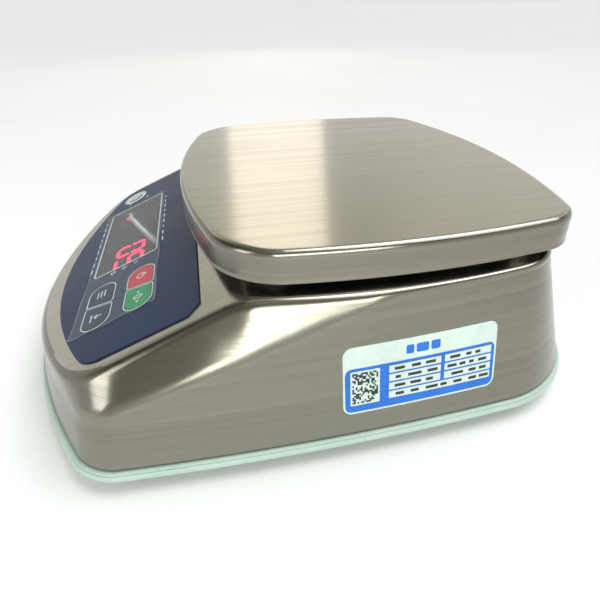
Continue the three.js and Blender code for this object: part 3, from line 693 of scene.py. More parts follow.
def shellMesh():
    base = halfRow(baseOutline, 0, shellBottom)
    wall = halfRow(wallOutline, 0, wallTop)
    rounds = body["ridgeSmoothing"]
    ridge = smoothed(halfRow(ridgeOutline, 0, topHeight), rounds)
    crease = smoothed(creaseRow(base, wall, ridge), body["creaseSmoothing"])
    topInner = smoothed(halfRow(ridgeOutline, body["bendRadius"], topHeight), rounds)
    lowTangent = []
    for edge, fold in zip(ridge, crease):
        down = fold - edge
        lowTangent.append(edge + down.normalized() * min(body["bendRadius"], down.length * 0.7))
    beforeFold = []
    afterFold = []
    for start, fold, end in zip(base, crease, lowTangent):
        reach = min(body["creaseSoft"], (fold - start).length * 0.45, (end - fold).length * 0.45)
        beforeFold.append(fold + (start - fold).normalized() * reach)
        afterFold.append(fold + (end - fold).normalized() * reach)
    lip = body["lip"]
    lipTop = [start + (fold - start).normalized() * lip for start, fold in zip(base, crease)]
    rows = [halfRow(baseOutline, lip, shellBottom)]
    rows += bendRows(rows[0], base, lipTop, 4)
    lowerShares = (0, 0.03, 0.15, 0.3, 0.45, 0.6, 0.75, 0.9, 0.97, 1)
    rows += [mixedRow(lipTop, beforeFold, share) for share in lowerShares]
    rows += bendRows(beforeFold, crease, afterFold, 8)
    rows += [mixedRow(afterFold, lowTangent, share) for share in (0, 0.05, 0.25, 0.5, 0.75, 0.95, 1)]
    rows += bendRows(lowTangent, ridge, topInner, 9)
    rows.append(topInner)
    inward = smoothed(halfRow(ridgeOutline, body["bendRadius"] + 1.5, topHeight), rounds)
    rows.append(inward)
    skin = joined([loft([wholeRing(row) for row in rows]), crossFill(inward)])
    return withModifiers(meshOf(skin), [
        ("SOLIDIFY", {"thickness": body["sheet"] * mm, "offset": -1, "use_even_offset": True})])


# The panel's own frame: x across, y up the slope, z out of the panel
panelMatrix = Matrix.Translation((0, bendY, deckHeight)) @ Matrix.Rotation(panelSlope, 4, "X")


def panelPlate(loops, low, high, bevel=0.0):
    return moved(plate(loops, low, high, bevel), panelMatrix)


panel = {
    "overlayMargin": 8,
    "overlayCorner": 75.3,
    "overlayBow": 30,
    "overlayRadius": 12,
    "overlayChamfer": 6,
    "overlayThickness": 0.5,
    "windowLeft": -68.4,
    "windowRight": 22.4,
    "windowTop": 45.4,
    "windowBottom": 82.6,
    "windowRadius": 1.5,
    "levelSide": 16,
    "levelDown": 67.5,
    "levelRadius": 7.6,
    "keysSide": 47,
    "keyWidth": 39.6,
    "keyHeight": 13.8,
    "keyRadius": 6.5,
    "keySplit": 2.6,
    "keySlant": 3.4,
    "keyRise": 0.3,
    "upperRow": 52.1,
    "lowerRow": 74.7,
    "inkWidth": 1.0,
    "keyInk": 0.6,
    "levelInk": 0.8,
    "inkClear": 0.1,  # from the edge of a hole to the ink round it
    "seat": 0.05,
    "ink": 0.04,
}
overlayHalf = ridgeOutline["front"] - panel["overlayMargin"]
keysX = overlayHalf - panel["keysSide"]
levelX = panel["levelSide"] - overlayHalf
overlayTopZ = gap + panel["overlayThickness"]


def windowLoop(grow):
    return roundedLoop(panel["windowLeft"] - grow, panel["windowRight"] + grow, -panel["windowBottom"] - grow,
                       -panel["windowTop"] + grow, panel["windowRadius"] + grow, 6)


def keySlotLoop(down):
    halfWidth = panel["keyWidth"] / 2 + gap
    halfHeight = panel["keyHeight"] / 2 + gap
    return roundedLoop(keysX - halfWidth, keysX + halfWidth, -down - halfHeight, -down + halfHeight,
                       panel["keyRadius"])


# One half of a stadium that a slanted slot splits in two
def keyLoop(right, down, grow=0.0):
    half = panel["keyHeight"] / 2 + grow
    lean = panel["keySlant"] / 2
    inner = panel["keySplit"] / 2 - grow
    outer = panel["keyWidth"] / 2 + grow
    radius = panel["keyRadius"] + grow
    soft = min(0.9 + grow, 1.5)
    points = []
    corners = [(inner + lean, half, 90, soft), (inner - lean, -half, 180, soft)]
    for x, y, start, r in corners:
        cx = x + r * (1.25 if start == 180 else 0.85)
        cy = y + (r if start == 180 else -r)
        for i in range(5):
            a = math.radians(start + 90 * i / 4)
            points.append((cx + r * math.cos(a), cy + r * math.sin(a)))
    for cx, cy, start in ((outer - radius, radius - half, -90), (outer - radius, half - radius, 0)):
        for i in range(11):
            a = math.radians(start + 9 * i)
            points.append((cx + radius * math.cos(a), cy + radius * math.sin(a)))
    turn = 1 if right else -1
    return [(keysX + turn * x, turn * y - down) for x, y in points]


bootLow, bootHigh = boxOf("deck_boot")
platterCentre = (bootLow + bootHigh) / 2
bootHole = 27
throughSheet = (-3.6, 2.4)
housingMesh = withoutCutters(shellMesh(), [
    panelPlate([windowLoop(gap)], *throughSheet),
    panelPlate([discLoop(levelX, -panel["levelDown"], panel["levelRadius"] + gap)], *throughSheet),
    panelPlate([keySlotLoop(panel["upperRow"])], *throughSheet),
    panelPlate([keySlotLoop(panel["lowerRow"])], *throughSheet),
    lathe([(bootHole, deckHeight - 4), (bootHole, deckHeight + 2)], 0, platterCentre.y, 64),
])
housingShell = makePiece("housingShell", housingMesh, ["steelWall", "steelTop"], "housing",
                         ["housing_shell"], even=True)
levelFace = 0.9  # how upright a face's normal is before it takes the top's grain
# upward faces get the lighter top colour, all other faces the walls' darker painted shade
for face in housingShell.data.polygons:
    face.material_index = 1 if face.normal.z > levelFace else 0
print("housing shell", len(housingShell.data.polygons), "faces")

# Gasket: a small lip against the steel over a half-round bead, and a web under the flange
gasketProfile = {
    "web": 12,
    "lipDepth": 0.75,
    "waist": 1.05,
    "beadRise": 3.2,
}


def gasketShape():
    low, high = gasketLow.z, gasketHigh.z
    waistZ = low + gasketProfile["beadRise"]
    points = [(gasketProfile["web"], high - 0.15), (2.3, high - 0.15), (1.9, high), (1.35, high),
              (gasketProfile["lipDepth"] + 0.15, high - 0.25), (gasketProfile["lipDepth"], high - 0.6),
              (gasketProfile["lipDepth"] + 0.1, waistZ + 0.45), (gasketProfile["waist"], waistZ + 0.15)]
    reach = gasketProfile["waist"]
    for i in range(13):
        a = math.radians(90 + 180 * i / 12)
        points.append((reach + reach * math.cos(a), low + gasketProfile["beadRise"] / 2
                       + gasketProfile["beadRise"] / 2 * math.sin(a)))
    points += [(3, low), (3, low + 2.8), (gasketProfile["web"], low + 2.8)]
    rows = [wholeRing(halfRow(gasketOutline, inset, z)) for inset, z in points]
    return loft(rows, closedEnds=True)


makePiece("baseGasket", meshOf(gasketShape()), ["mouldedSilicone"], "housing", ["base_gasket"])
print("gasket")

# Platter: an inverted pan with a rolled edge below and a bend round the top
platterShape = {
    "rearTaper": 2.3,
    "frontBow": 18.3,
    "sideBow": 7.6,
    "rearBow": 16.8,
    "bowLead": 6.5,
    "frontRadius": 35.1,
    "rearRadius": 22.3,
    "bend": 3.5,
    "roll": 0.8,
    "rollProud": 0.25,
}
platterLow, platterHigh = boxOf("platter")
platterOutline = {
    "front": platterHigh.x - platterShape["bowLead"],
    "rear": platterHigh.x - platterShape["bowLead"] - platterShape["rearTaper"],
    "frontY": platterLow.y + platterShape["frontBow"],
    "rearY": platterHigh.y - platterShape["rearBow"],
    "frontBow": platterShape["frontBow"],
    "sideBow": platterShape["sideBow"],
    "rearBow": platterShape["rearBow"],
    "frontRadius": platterShape["frontRadius"],
    "rearRadius": platterShape["rearRadius"],
}


def platterMesh():
    low, high = platterLow.z, platterHigh.z
    roll = platterShape["roll"]
    proud = platterShape["rollProud"]
    bend = platterShape["bend"]
    rows = []
    for i in range(10):
        a = math.radians(200 + 180 * i / 9)
        rows.append(halfRow(platterOutline, roll - roll * math.cos(a), low + roll + roll * math.sin(a)))
    rows.append(halfRow(platterOutline, proud, low + 2 * roll + 0.3))
    rimTop = halfRow(platterOutline, proud, high - bend)
    rows += [mixedRow(rows[-1], rimTop, share) for share in (0.08, 0.3, 0.5, 0.7, 0.92, 1)]
    edge = halfRow(platterOutline, proud, high)
    inner = halfRow(platterOutline, proud + bend, high)
    rows += bendRows(rimTop, edge, inner, 9)
    rows.append(inner)
    inward = halfRow(platterOutline, proud + bend + 1.5, high)
    rows.append(inward)
    skin = joined([loft([wholeRing(row) for row in rows]), crossFill(inward)])
    return withModifiers(meshOf(skin), [
        ("SOLIDIFY", {"thickness": body["sheet"] * mm, "offset": -1, "use_even_offset": True})])


platter = makePiece("platterPan", platterMesh(), ["steelWall", "steelTop"], "platter", ["platter"],
                    even=True)
# upward faces get the lighter top colour, all other faces the walls' darker painted shade
for face in platter.data.polygons:
    face.material_index = 1 if face.normal.z > levelFace else 0
print("platter", len(platter.data.polygons), "faces")

# Overlay film with its holes: the lower edge is bowed and the upper corners are cut straight
overlayOutline = {
    "front": overlayHalf, "rear": overlayHalf,
    "frontY": -panel["overlayCorner"], "rearY": -panelTop["firstEdge"],
    "frontBow": panel["overlayBow"], "sideBow": 0, "rearBow": 0,
    "frontRadius": panel["overlayRadius"], "rearRadius": panel["overlayChamfer"], "rearCut": True,
}
overlayHalfPoints = [(p.x, p.y) for p in halfOutline(overlayOutline)]
overlayLoop = overlayHalfPoints + [(-x, y) for x, y in reversed(overlayHalfPoints[1:-1])]
keyList = {
    "key_off": {"right": False, "row": "upperRow", "finish": "texturedPolyesterRed", "slot": "red_key"},
    "key_zero": {"right": True, "row": "upperRow", "finish": "texturedPolyesterGreen", "slot": "green_key"},
    "key_set": {"right": False, "row": "lowerRow", "finish": "texturedPolyesterInk", "slot": "navy_key"},
    "key_tare": {"right": True, "row": "lowerRow", "finish": "texturedPolyesterInk", "slot": "navy_key"},
}
levelLoop = discLoop(levelX, -panel["levelDown"], panel["levelRadius"] + gap, 56)
overlayHoles = [windowLoop(gap), levelLoop]
overlayHoles += [keyLoop(key["right"], panel[key["row"]], gap) for key in keyList.values()]
makePiece("panelOverlay", meshOf(panelPlate([overlayLoop] + overlayHoles, panel["seat"], overlayTopZ, 0.08)),
          ["texturedPolyesterNavy"], "housing", ["panel_overlay"], even=True)

# White screen print: frames round the window and keys, and plain marks where a label would be
inkLow = overlayTopZ
inkHigh = overlayTopZ + panel["ink"]
inkStart = gap + panel["inkClear"]
printShapes = [panelPlate([windowLoop(inkStart + panel["inkWidth"]), windowLoop(inkStart)], inkLow, inkHigh)]
for key in keyList.values():
    down = panel[key["row"]]
    frameLoops = [keyLoop(key["right"], down, grow) for grow in (inkStart + panel["keyInk"], inkStart)]
    printShapes.append(panelPlate(frameLoops, inkLow, inkHigh))
ringRadius = panel["levelRadius"] + inkStart
printShapes.append(panelPlate([discLoop(levelX, -panel["levelDown"], ringRadius + panel["levelInk"], 56),
                               discLoop(levelX, -panel["levelDown"], ringRadius, 56)], inkLow, inkHigh))
marks = {"below": 87.0, "above": 41.2, "first": -58, "last": 12, "count": 9, "length": 4.6, "width": 0.75}
pitch = (marks["last"] - marks["first"]) / (marks["count"] - 1)
for i in range(marks["count"]):
    x = marks["first"] + pitch * i
    half = marks["length"] / 2 * (1 if i % 3 else 0.55)
    for down in (marks["below"], marks["above"]):
        stroke = strokeLoop(x - half, -down, x + half, -down, marks["width"])
        printShapes.append(panelPlate([stroke], inkLow, inkHigh))
sideMarks = {"right": 27.2, "left": -78.5, "downs": (57, 64, 71), "size": 1.7}
for i, down in enumerate(sideMarks["downs"]):
    size = sideMarks["size"]
    outerLoop = discLoop(sideMarks["right"], -down, size, (3, 4, 24)[i])
    innerLoop = discLoop(sideMarks["right"], -down, size * 0.6, (3, 4, 24)[i])
    printShapes.append(panelPlate([outerLoop, innerLoop], inkLow, inkHigh))
    if i != 1:
        stroke = strokeLoop(sideMarks["left"] - size, -down, sideMarks["left"] + size, -down, marks["width"])
        printShapes.append(panelPlate([stroke], inkLow, inkHigh))
makePiece("panelPrint", meshOf(joined(printShapes)), ["screenInkWhite"], "housing")
print("overlay and print")


# Keys: embossed caps with a soft edge, and a plain symbol printed on each
def symbolLoops(name, x, y):
    ring = discLoop(x, y, 2.6, 36)
    hole = discLoop(x, y, 1.9, 36)
    if name == "key_off":
        return [[ring, hole], [strokeLoop(x, y + 0.6, x, y + 3.4, 0.8)]]
    if name == "key_zero":
        oval = [discLoop(x, y, 1.7, 30, 1.5), discLoop(x, y, 1.0, 30, 1.8)]
        arrows = [[discLoop(x + side * 4.2, y, 1.2, 3)] for side in (-1, 1)]
        return [oval] + arrows
    if name == "key_set":
        return [[strokeLoop(x - 3, y + step, x + 3, y + step, 0.75)] for step in (-2, 0, 2)]
    return [[strokeLoop(x, y - 0.8, x, y + 3, 0.8)], [strokeLoop(x - 1.5, y + 0.6, x, y - 0.9, 0.7)],
            [strokeLoop(x + 1.5, y + 0.6, x, y - 0.9, 0.7)],
            [strokeLoop(x - 3, y - 2.6, x + 3, y - 2.6, 0.8)]]


keyTopZ = overlayTopZ + panel["keyRise"]
keyCap = {"bottom": -1.0, "edge": 0.22}
for name, key in keyList.items():
    down = panel[key["row"]]
    words = name.split("_")
    pieceName = words[0] + words[1].capitalize()
    cap = panelPlate([keyLoop(key["right"], down)], keyCap["bottom"], keyTopZ, keyCap["edge"])
    makePiece(pieceName, meshOf(cap), [key["finish"]], name, [name], even=True)
    middle = keysX + (1 if key["right"] else -1) * (panel["keyWidth"] + panel["keySplit"]) / 4
    symbol = joined([panelPlate(loops, keyTopZ, keyTopZ + panel["ink"])
                     for loops in symbolLoops(name, middle, -down)])
    makePiece(pieceName + "Symbol", meshOf(symbol), ["screenInkWhite"], name)
print("keys")

# Window, and the LED digits under it
windowBottomZ = -body["sheet"] - gap
makePiece("displayWindow", meshOf(panelPlate([windowLoop(0)], windowBottomZ, overlayTopZ, 0.12)),
          ["smokedAcrylic"], "housing", ["display_window"], even=True)

digits = {
    "count": 5,
    "pitch": 14.6,
    "lastRight": 17.5,
    "top": 56.2,
    "bottom": 73.8,
    "width": 10.6,
    "bar": 2.3,
    "slant": 0.09,
    "reading": {3: "abcdef", 4: "acdfg"},
    "blockTop": -2.3,
    "blockBottom": -11.7,
    "proud": 0.15,
}


def digitBars(left):
    top, bottom = -digits["top"], -digits["bottom"]
    middle = (top + bottom) / 2
    right = left + digits["width"]
    inset = digits["bar"] / 2 + 0.35
    ends = {
        "a": (left + inset, top, right - inset, top),
        "b": (right, top - inset, right, middle + inset),
        "c": (right, middle - inset, right, bottom + inset),
        "d": (left + inset, bottom, right - inset, bottom),
        "e": (left, middle - inset, left, bottom + inset),
        "f": (left, top - inset, left, middle + inset),
        "g": (left + inset, middle, right - inset, middle),
    }

    def slanted(x, y):
        return x + (y - middle) * digits["slant"], y

    return {bar: (*slanted(x0, y0), *slanted(x1, y1)) for bar, (x0, y0, x1, y1) in ends.items()}


digitLow, digitHigh = digits["blockTop"], digits["blockTop"] + digits["proud"]
litShapes = []
darkShapes = []
for i in range(digits["count"]):
    left = digits["lastRight"] - digits["pitch"] * (digits["count"] - 1 - i) - digits["width"] - 1
    lit = digits["reading"].get(i, "")
    for bar, ends in digitBars(left).items():
        shape = panelPlate([strokeLoop(*ends, digits["bar"])], digitLow, digitHigh)
        (litShapes if bar in lit else darkShapes).append(shape)
    point = panelPlate([discLoop(left + digits["width"] + 1.9, -digits["bottom"] - 0.4, 1.1, 20)],
                       digitLow, digitHigh)
    (litShapes if i == 4 else darkShapes).append(point)
litShapes.append(panelPlate([discLoop(-60, -72.5, 1.6, 20)], digitLow, digitHigh))
block = roundedLoop(panel["windowLeft"] + 5, panel["windowRight"] - 3, -panel["windowBottom"] + 6,
                    -panel["windowTop"] - 7, 1)
makePiece("digitBlock", meshOf(panelPlate([block], digits["blockBottom"], digits["blockTop"], 0.2)),
          ["filterPlastic"], "housing", ["display_digits"])
makePiece("digitBarsLit", meshOf(joined(litShapes)), ["litLed"], "housing")
makePiece("digitBarsDark", meshOf(joined(darkShapes)), ["ledOff"], "housing")
print("display")

# Round level: white rim, green spirit with a bubble and a printed circle, under a clear lid
level = {"rim": 1.3, "bubble": 1.7, "circle": 2.5, "depth": 9}
lidTop = overlayTopZ


def onLevel(shape):
    return moved(shape, panelMatrix @ Matrix.Translation((levelX, -panel["levelDown"], 0)))


outer = panel["levelRadius"]
innerEdge = outer - level["rim"]
cup = lathe([(outer - 1, -level["depth"]), (outer - 1, -1.2), (outer, -1.2), (outer, lidTop - 0.2),
             (outer - 0.2, lidTop), (innerEdge + 0.15, lidTop), (innerEdge, lidTop - 0.15),
             (innerEdge, -1.6), (0.5, -1.6)])
makePiece("levelCup", meshOf(onLevel(cup)), ["screenInkWhite"], "housing", ["level_vial"])
spirit = lathe([(0.3, -1.55), (innerEdge - 0.05, -1.55), (innerEdge - 0.05, -0.5), (0.3, -0.5)])
makePiece("levelSpirit", meshOf(onLevel(spirit)), ["levelSpirit"], "housing")
lid = lathe([(0.3, -0.4), (innerEdge - 0.08, -0.4), (innerEdge - 0.08, lidTop - 0.35),
             (innerEdge - 0.6, lidTop - 0.08), (innerEdge * 0.5, lidTop), (0.3, lidTop)])
makePiece("levelLid", meshOf(onLevel(lid)), ["clearAcrylic"], "housing")
circle = lathe([(level["circle"], -0.48), (level["circle"] + 0.3, -0.48), (level["circle"] + 0.3, -0.44),
                (level["circle"], -0.44), (level["circle"], -0.48)])
bubbleProfile = [(0.05, -0.48), (level["bubble"], -0.48), (level["bubble"] * 0.8, -0.43), (0.05, -0.42)]
bubble = moved(lathe(bubbleProfile), Matrix.Translation((0.5, 0.4, 0)))
makePiece("levelCircle", meshOf(onLevel(circle)), ["vinylBlack"], "housing")
makePiece("levelBubble", meshOf(onLevel(bubble)), ["screenInkWhite"], "housing")
print("level")

# Transit film over the window and keys, creased across the window and lifting at its right-hand edge
film = {
    "left": -71,
    "right": 80.1,
    "top": 42.4,
    "bottom": 86.8,
    "rest": 1.35,
    "thickness": 0.1,
    "step": 0.9,
    "crease": [(-52, 67), (-41, 65), (-30, 61), (-18, 57), (-7, 53), (4, 49), (18, 44)],
    "creaseHeight": 2.6,
    "creaseWidth": 1.5,
    "wrinkle": 0.22,
    "swell": 0.8,  # how far the film bellies up beside the crease
    "curl": 2.2,
    "cornerCurl": 0.8,
    "skew": 1.6,  # how far the lower edge is pulled aside
}


def distanceToCrease(x, down):
    best = 1e9
    along = 0
    points = [Vector(p) for p in film["crease"]]
    here = Vector((x, down))
    for i in range(len(points) - 1):
        span = points[i + 1] - points[i]
        t = max(0, min(1, (here - points[i]).dot(span) / span.length_squared))
        distance = (points[i] + span * t - here).length
        if distance < best:
            best = distance
            along = (i + t) / (len(points) - 1)
    return best, along


def filmMesh():
    columns = round((film["right"] - film["left"]) / film["step"])
    lines = round((film["bottom"] - film["top"]) / film["step"])
    creaseHighlights = []
    rows = []
    for j in range(lines + 1):
        row = []
        for i in range(columns + 1):
            u, v = i / columns, j / lines
            x = film["left"] + (film["right"] - film["left"]) * u
            down = film["top"] + (film["bottom"] - film["top"]) * v
            x += film["skew"] * v * (1 - u) - 0.5 * math.sin(down * 0.35) * u
            down += 0.4 * math.sin(x * 0.16) * (1 if v in (0, 1) else 0)
            distance, along = distanceToCrease(x, down)
            fade = math.sin(math.pi * (0.12 + 0.8 * along)) ** 0.6
            ridge = math.exp(-(distance / film["creaseWidth"]) ** 2) * fade
            swell = math.exp(-(distance / (film["creaseWidth"] * 5)) ** 2) * fade
            wave = math.sin(x * 0.19 + 1.3 * math.sin(down * 0.12)) * math.sin(down * 0.31 + x * 0.05)
            lift = film["creaseHeight"] * ridge + film["swell"] * swell
            lift += film["wrinkle"] * wave * (0.5 + 0.5 * u)
            lift += film["curl"] * max(0, u - 0.93) / 0.07 * max(0, 1 - abs(v - 0.12) * 6) ** 2
            lift += film["cornerCurl"] * max(0, v - 0.9) / 0.1 * max(0, u - 0.85) / 0.15
            row.append(panelMatrix @ Vector((x, -down, film["rest"] + max(0, lift))))
            # painted highlight: strong along the crease's ridge, fainter round the film's edges, stored as
            # the crease attribute
            creaseHighlights.append(min(1, ridge + 0.25 * (1 if u in (0, 1) or v in (0, 1) else 0)))
        rows.append(row)
    vertices, faces = loft(rows, closedRows=False)
    mesh = bpy.data.meshes.new("film")
    mesh.from_pydata([Vector(v) * mm for v in vertices], [], faces)
    mesh.attributes.new("crease", "FLOAT", "POINT").data.foreach_set("value", creaseHighlights)
    return withModifiers(mesh, [("SOLIDIFY", {"thickness": film["thickness"] * mm, "offset": 1})])


makePiece("transitFilm", filmMesh(), ["transitFilm"], "housing", ["protective_film"],
          sharpAngle=60)
print("film")


# How far out the right-hand wall stands at a place, for the rating label that is bent to it
def wallX(y, z):
    s = (z - shellBottom) / (wallTop - shellBottom)
    frontY = baseOutline["frontY"] * (1 - s) + wallOutline["frontY"] * s
    rearY = baseOutline["rearY"] * (1 - s) + wallOutline["rearY"] * s
    t = (y - frontY) / (rearY - frontY)
    halves = [o["front"] + (o["rear"] - o["front"]) * t + o["sideBow"] * 4 * t * (1 - t)
              for o in (baseOutline, wallOutline)]
    return halves[0] * (1 - s) + halves[1] * s


# A thin patch on the wall, cut into columns so that it follows the bow
def wallPatch(left, right, low, high, radius, lift, thickness=0.04, columnWidth=2.5):
    r = max(radius, 0.01)
    spots = [left + r * (1 - math.cos(math.pi / 2 * i / 6)) for i in range(7)]
    middleColumns = max(1, round((right - left - 2 * r) / columnWidth))
    spots += [left + r + (right - left - 2 * r) * i / middleColumns for i in range(1, middleColumns)]
    spots += [right - r * (1 - math.cos(math.pi / 2 * i / 6)) for i in reversed(range(7))]
    rows = []
    for y in spots:
        off = max(0, r - (y - left), r - (right - y))
        pinch = r - math.sqrt(max(0, r * r - off * off))
        pinch = min(pinch, (high - low) / 2 - 0.005)
        bottom, top = low + pinch, high - pinch
        heights = [bottom + (top - bottom) * k / 4 for k in range(5)]
        outerEdge = [(wallX(y, z) + lift + thickness, y, z) for z in heights]
        innerEdge = [(wallX(y, z) + lift, y, z) for z in reversed(heights)]
        rows.append(outerEdge + innerEdge)
    vertices, faces = loft(rows)
    count = len(rows[0])
    faces.append(tuple(reversed(range(count))))
    faces.append(tuple(range(len(vertices) - count, len(vertices))))
    return vertices, faces


label = {
    "margin": 0.9,
    "radius": 3.6,
    "bandTop": 0.31,
    "titleBlocks": ((0.39, 0.05), (0.455, 0.08), (0.55, 0.06)),
    "titleTop": 0.1,
    "titleHeight": 0.13,
    "lifts": (0.14, 0.2, 0.26),  # the blue, white and black layers, out from the wall
    "codeLeft": 0.045,
    "codeSize": 13.2,
    "codeCells": 15,
    "columns": ((0.285, 0.62), (0.645, 0.965)),
    "rowTops": (0.355, 0.485, 0.615),
    "rowHeight": 0.105,
    "wideTop": 0.745,
    "seed": 11,
}
labelLow, labelHigh = boxOf("rating_label")
labelWidth = labelHigh.y - labelLow.y
labelHeight = labelHigh.z - labelLow.z
labelDice = random.Random(label["seed"])


def labelPatch(left, right, top, bottom, radius, lift):
    return wallPatch(labelLow.y + labelWidth * left, labelLow.y + labelWidth * right,
                     labelHigh.z - labelHeight * bottom, labelHigh.z - labelHeight * top, radius, lift)


marginAcross = label["margin"] / labelWidth
marginDown = label["margin"] / labelHeight
clearPatch = wallPatch(labelLow.y, labelHigh.y, labelLow.z, labelHigh.z, label["radius"] + 0.6, 0.02, 0.1)
makePiece("labelBacking", meshOf(clearPatch), ["vinylWhite"], "housing", ["rating_label"])
blueLift, whiteLift, blackLift = label["lifts"]
blueShapes = [labelPatch(marginAcross, 1 - marginAcross, label["bandTop"], 1 - marginDown,
                         label["radius"] - 0.6, blueLift)]
titleBottom = label["titleTop"] + label["titleHeight"]
for left, width in label["titleBlocks"]:
    blueShapes.append(labelPatch(left, left + width, label["titleTop"], titleBottom, 0.9, blueLift))
whiteShapes = []
blackShapes = []
fieldRows = [(left, right, top) for top in label["rowTops"] for left, right in label["columns"]]
fieldRows.append((label["columns"][0][0], label["columns"][1][1], label["wideTop"]))
for left, right, top in fieldRows:
    bottom = top + label["rowHeight"]
    whiteShapes.append(labelPatch(left, right, top, bottom, 0.25, whiteLift))
    x = left + 0.02 + 0.03 * labelDice.random()
    while x < right - 0.07:
        length = 0.03 + 0.06 * labelDice.random()
        end = min(x + length, right - 0.01)
        blackShapes.append(labelPatch(x, end, top + 0.032, bottom - 0.03, 0.1, blackLift))
        x += length + 0.018 + 0.03 * labelDice.random()
codeTop = label["bandTop"] + 0.045
codeAcross = label["codeSize"] / labelWidth
codeDown = label["codeSize"] / labelHeight
whiteShapes.append(labelPatch(label["codeLeft"], label["codeLeft"] + codeAcross, codeTop,
                              codeTop + codeDown * 1.25, 0.3, whiteLift))
cells = label["codeCells"]
for row in range(round(cells * 1.2)):
    start = None
    for column in range(cells + 1):
        dark = column < cells and labelDice.random() < 0.52
        if dark and start is None:
            start = column
        if not dark and start is not None:
            left = label["codeLeft"] + codeAcross * (0.06 + 0.88 * start / cells)
            right = label["codeLeft"] + codeAcross * (0.06 + 0.88 * column / cells)
            top = codeTop + codeDown * (0.06 + 0.94 * row / cells)
            bottom = top + codeDown * 0.94 / cells
            blackShapes.append(labelPatch(left, right, top, bottom, 0.02, blackLift))
            start = None
makePiece("labelBlue", meshOf(joined(blueShapes)), ["vinylBlue"], "housing")
makePiece("labelFields", meshOf(joined(whiteShapes)), ["vinylWhite"], "housing")
makePiece("labelMarks", meshOf(joined(blackShapes)), ["vinylBlack"], "housing")
print("label")


# A rod with a helical thread, for the feet's studs
def threadShape(x, y, radius, low, high, threadPitch=1.25, depth=0.35):
    steps = 32
    lines = max(2, round((high - low) / (threadPitch / 6)))
    rows = []
    for j in range(lines + 1):
        z = low + (high - low) * j / lines
        row = []
        for i in range(steps):
            phase = (z / threadPitch - i / steps) % 1
            r = radius - depth * abs(2 * phase - 1)
            a = 2 * math.pi * i / steps
            row.append((x + r * math.cos(a), y + r * math.sin(a), z))
        rows.append(row)
    vertices, faces = loft(rows)
    faces.append(tuple(reversed(range(steps))))
    faces.append(tuple(range(len(vertices) - steps, len(vertices))))
    return vertices, faces


def nutShape(x, y, corner, hole, low, high):
    flat = corner * math.cos(math.pi / 6)
    chamfer = (corner - flat) * 0.6
    steps = 72
    rows = []
    for z, limit in ((low, corner - chamfer * 1.6), (low + chamfer, corner), (high - chamfer, corner),
                     (high, corner - chamfer * 1.6)):
        row = []
        for i in range(steps):
            a = 2 * math.pi * i / steps
            r = min(limit, flat / math.cos((a % (math.pi / 3)) - math.pi / 6))
            row.append((x + r * math.cos(a), y + r * math.sin(a), z))
        rows.append(row)
    for z, r in ((high, hole + 0.4), (high - 0.4, hole), (low + 0.4, hole), (low, hole + 0.4)):
        angles = [2 * math.pi * i / steps for i in range(steps)]
        rows.append([(x + r * math.cos(a), y + r * math.sin(a), z) for a in angles])
    return loft(rows, closedEnds=True)


for corner in ("front_left", "front_right", "rear_left", "rear_right"):
    pieceEnd = "".join(word.capitalize() for word in corner.split("_"))
    padLow, padHigh = boxOf("foot_pad_" + corner)
    studLow, studHigh = boxOf("foot_stud_" + corner)
    nutLow, nutHigh = boxOf("foot_lock_nut_" + corner)
    x, y = ((padLow + padHigh) / 2).xy
    radius = (padHigh.x - padLow.x) / 2
    stud = (studHigh.x - studLow.x) / 2
    top = padHigh.z
    padProfile = [(stud + gap, 1.4), (stud + gap, top), (radius - 5.5, top), (radius - 4.2, top - 0.4),
                  (radius - 3, top - 1.4), (radius - 1.2, 1.9), (radius - 0.3, 1.6), (radius, 1.1),
                  (radius, 0.5), (radius - 0.5, 0), (radius - 2.5, 0), (radius - 2.9, 0.4),
                  (radius - 4.2, 0.4), (radius - 4.6, 0), (0.5, 0), (0.5, 1.4), (stud + gap, 1.4)]
    makePiece("footPad" + pieceEnd, meshOf(lathe(padProfile, x, y, 64)), ["mouldedRubber"], "pad_" + corner,
              ["foot_pad_" + corner])
    makePiece("footStud" + pieceEnd, meshOf(threadShape(x, y, stud, studLow.z, studHigh.z)), ["zincPlate"],
              "stud_" + corner, ["foot_stud_" + corner])
    lockNut = nutShape(x, y, (nutHigh.x - nutLow.x) / 2, stud + gap / 2, nutLow.z, nutHigh.z)
    makePiece("footLockNut" + pieceEnd, meshOf(lockNut), ["zincPlate"], bodyOf("foot_lock_nut_" + corner),
              ["foot_lock_nut_" + corner])
print("feet")


# Everything else keeps its frame shape with its edges broken, as a real machined or moulded part has
def softened(node, width):
    source = frame["nodes"][node].data.copy()
    work = bmesh.new()
    work.from_mesh(source)
    bmesh.ops.remove_doubles(work, verts=work.verts, dist=0.005 * mm)
    bmesh.ops.dissolve_limit(work, angle_limit=math.radians(1), verts=work.verts, edges=work.edges)
    work.to_mesh(source)
    work.free()
    bevel = {"width": width * mm, "segments": 2, "limit_method": "ANGLE", "angle_limit": math.radians(35)}
    return withModifiers(source, [("BEVEL", bevel)])


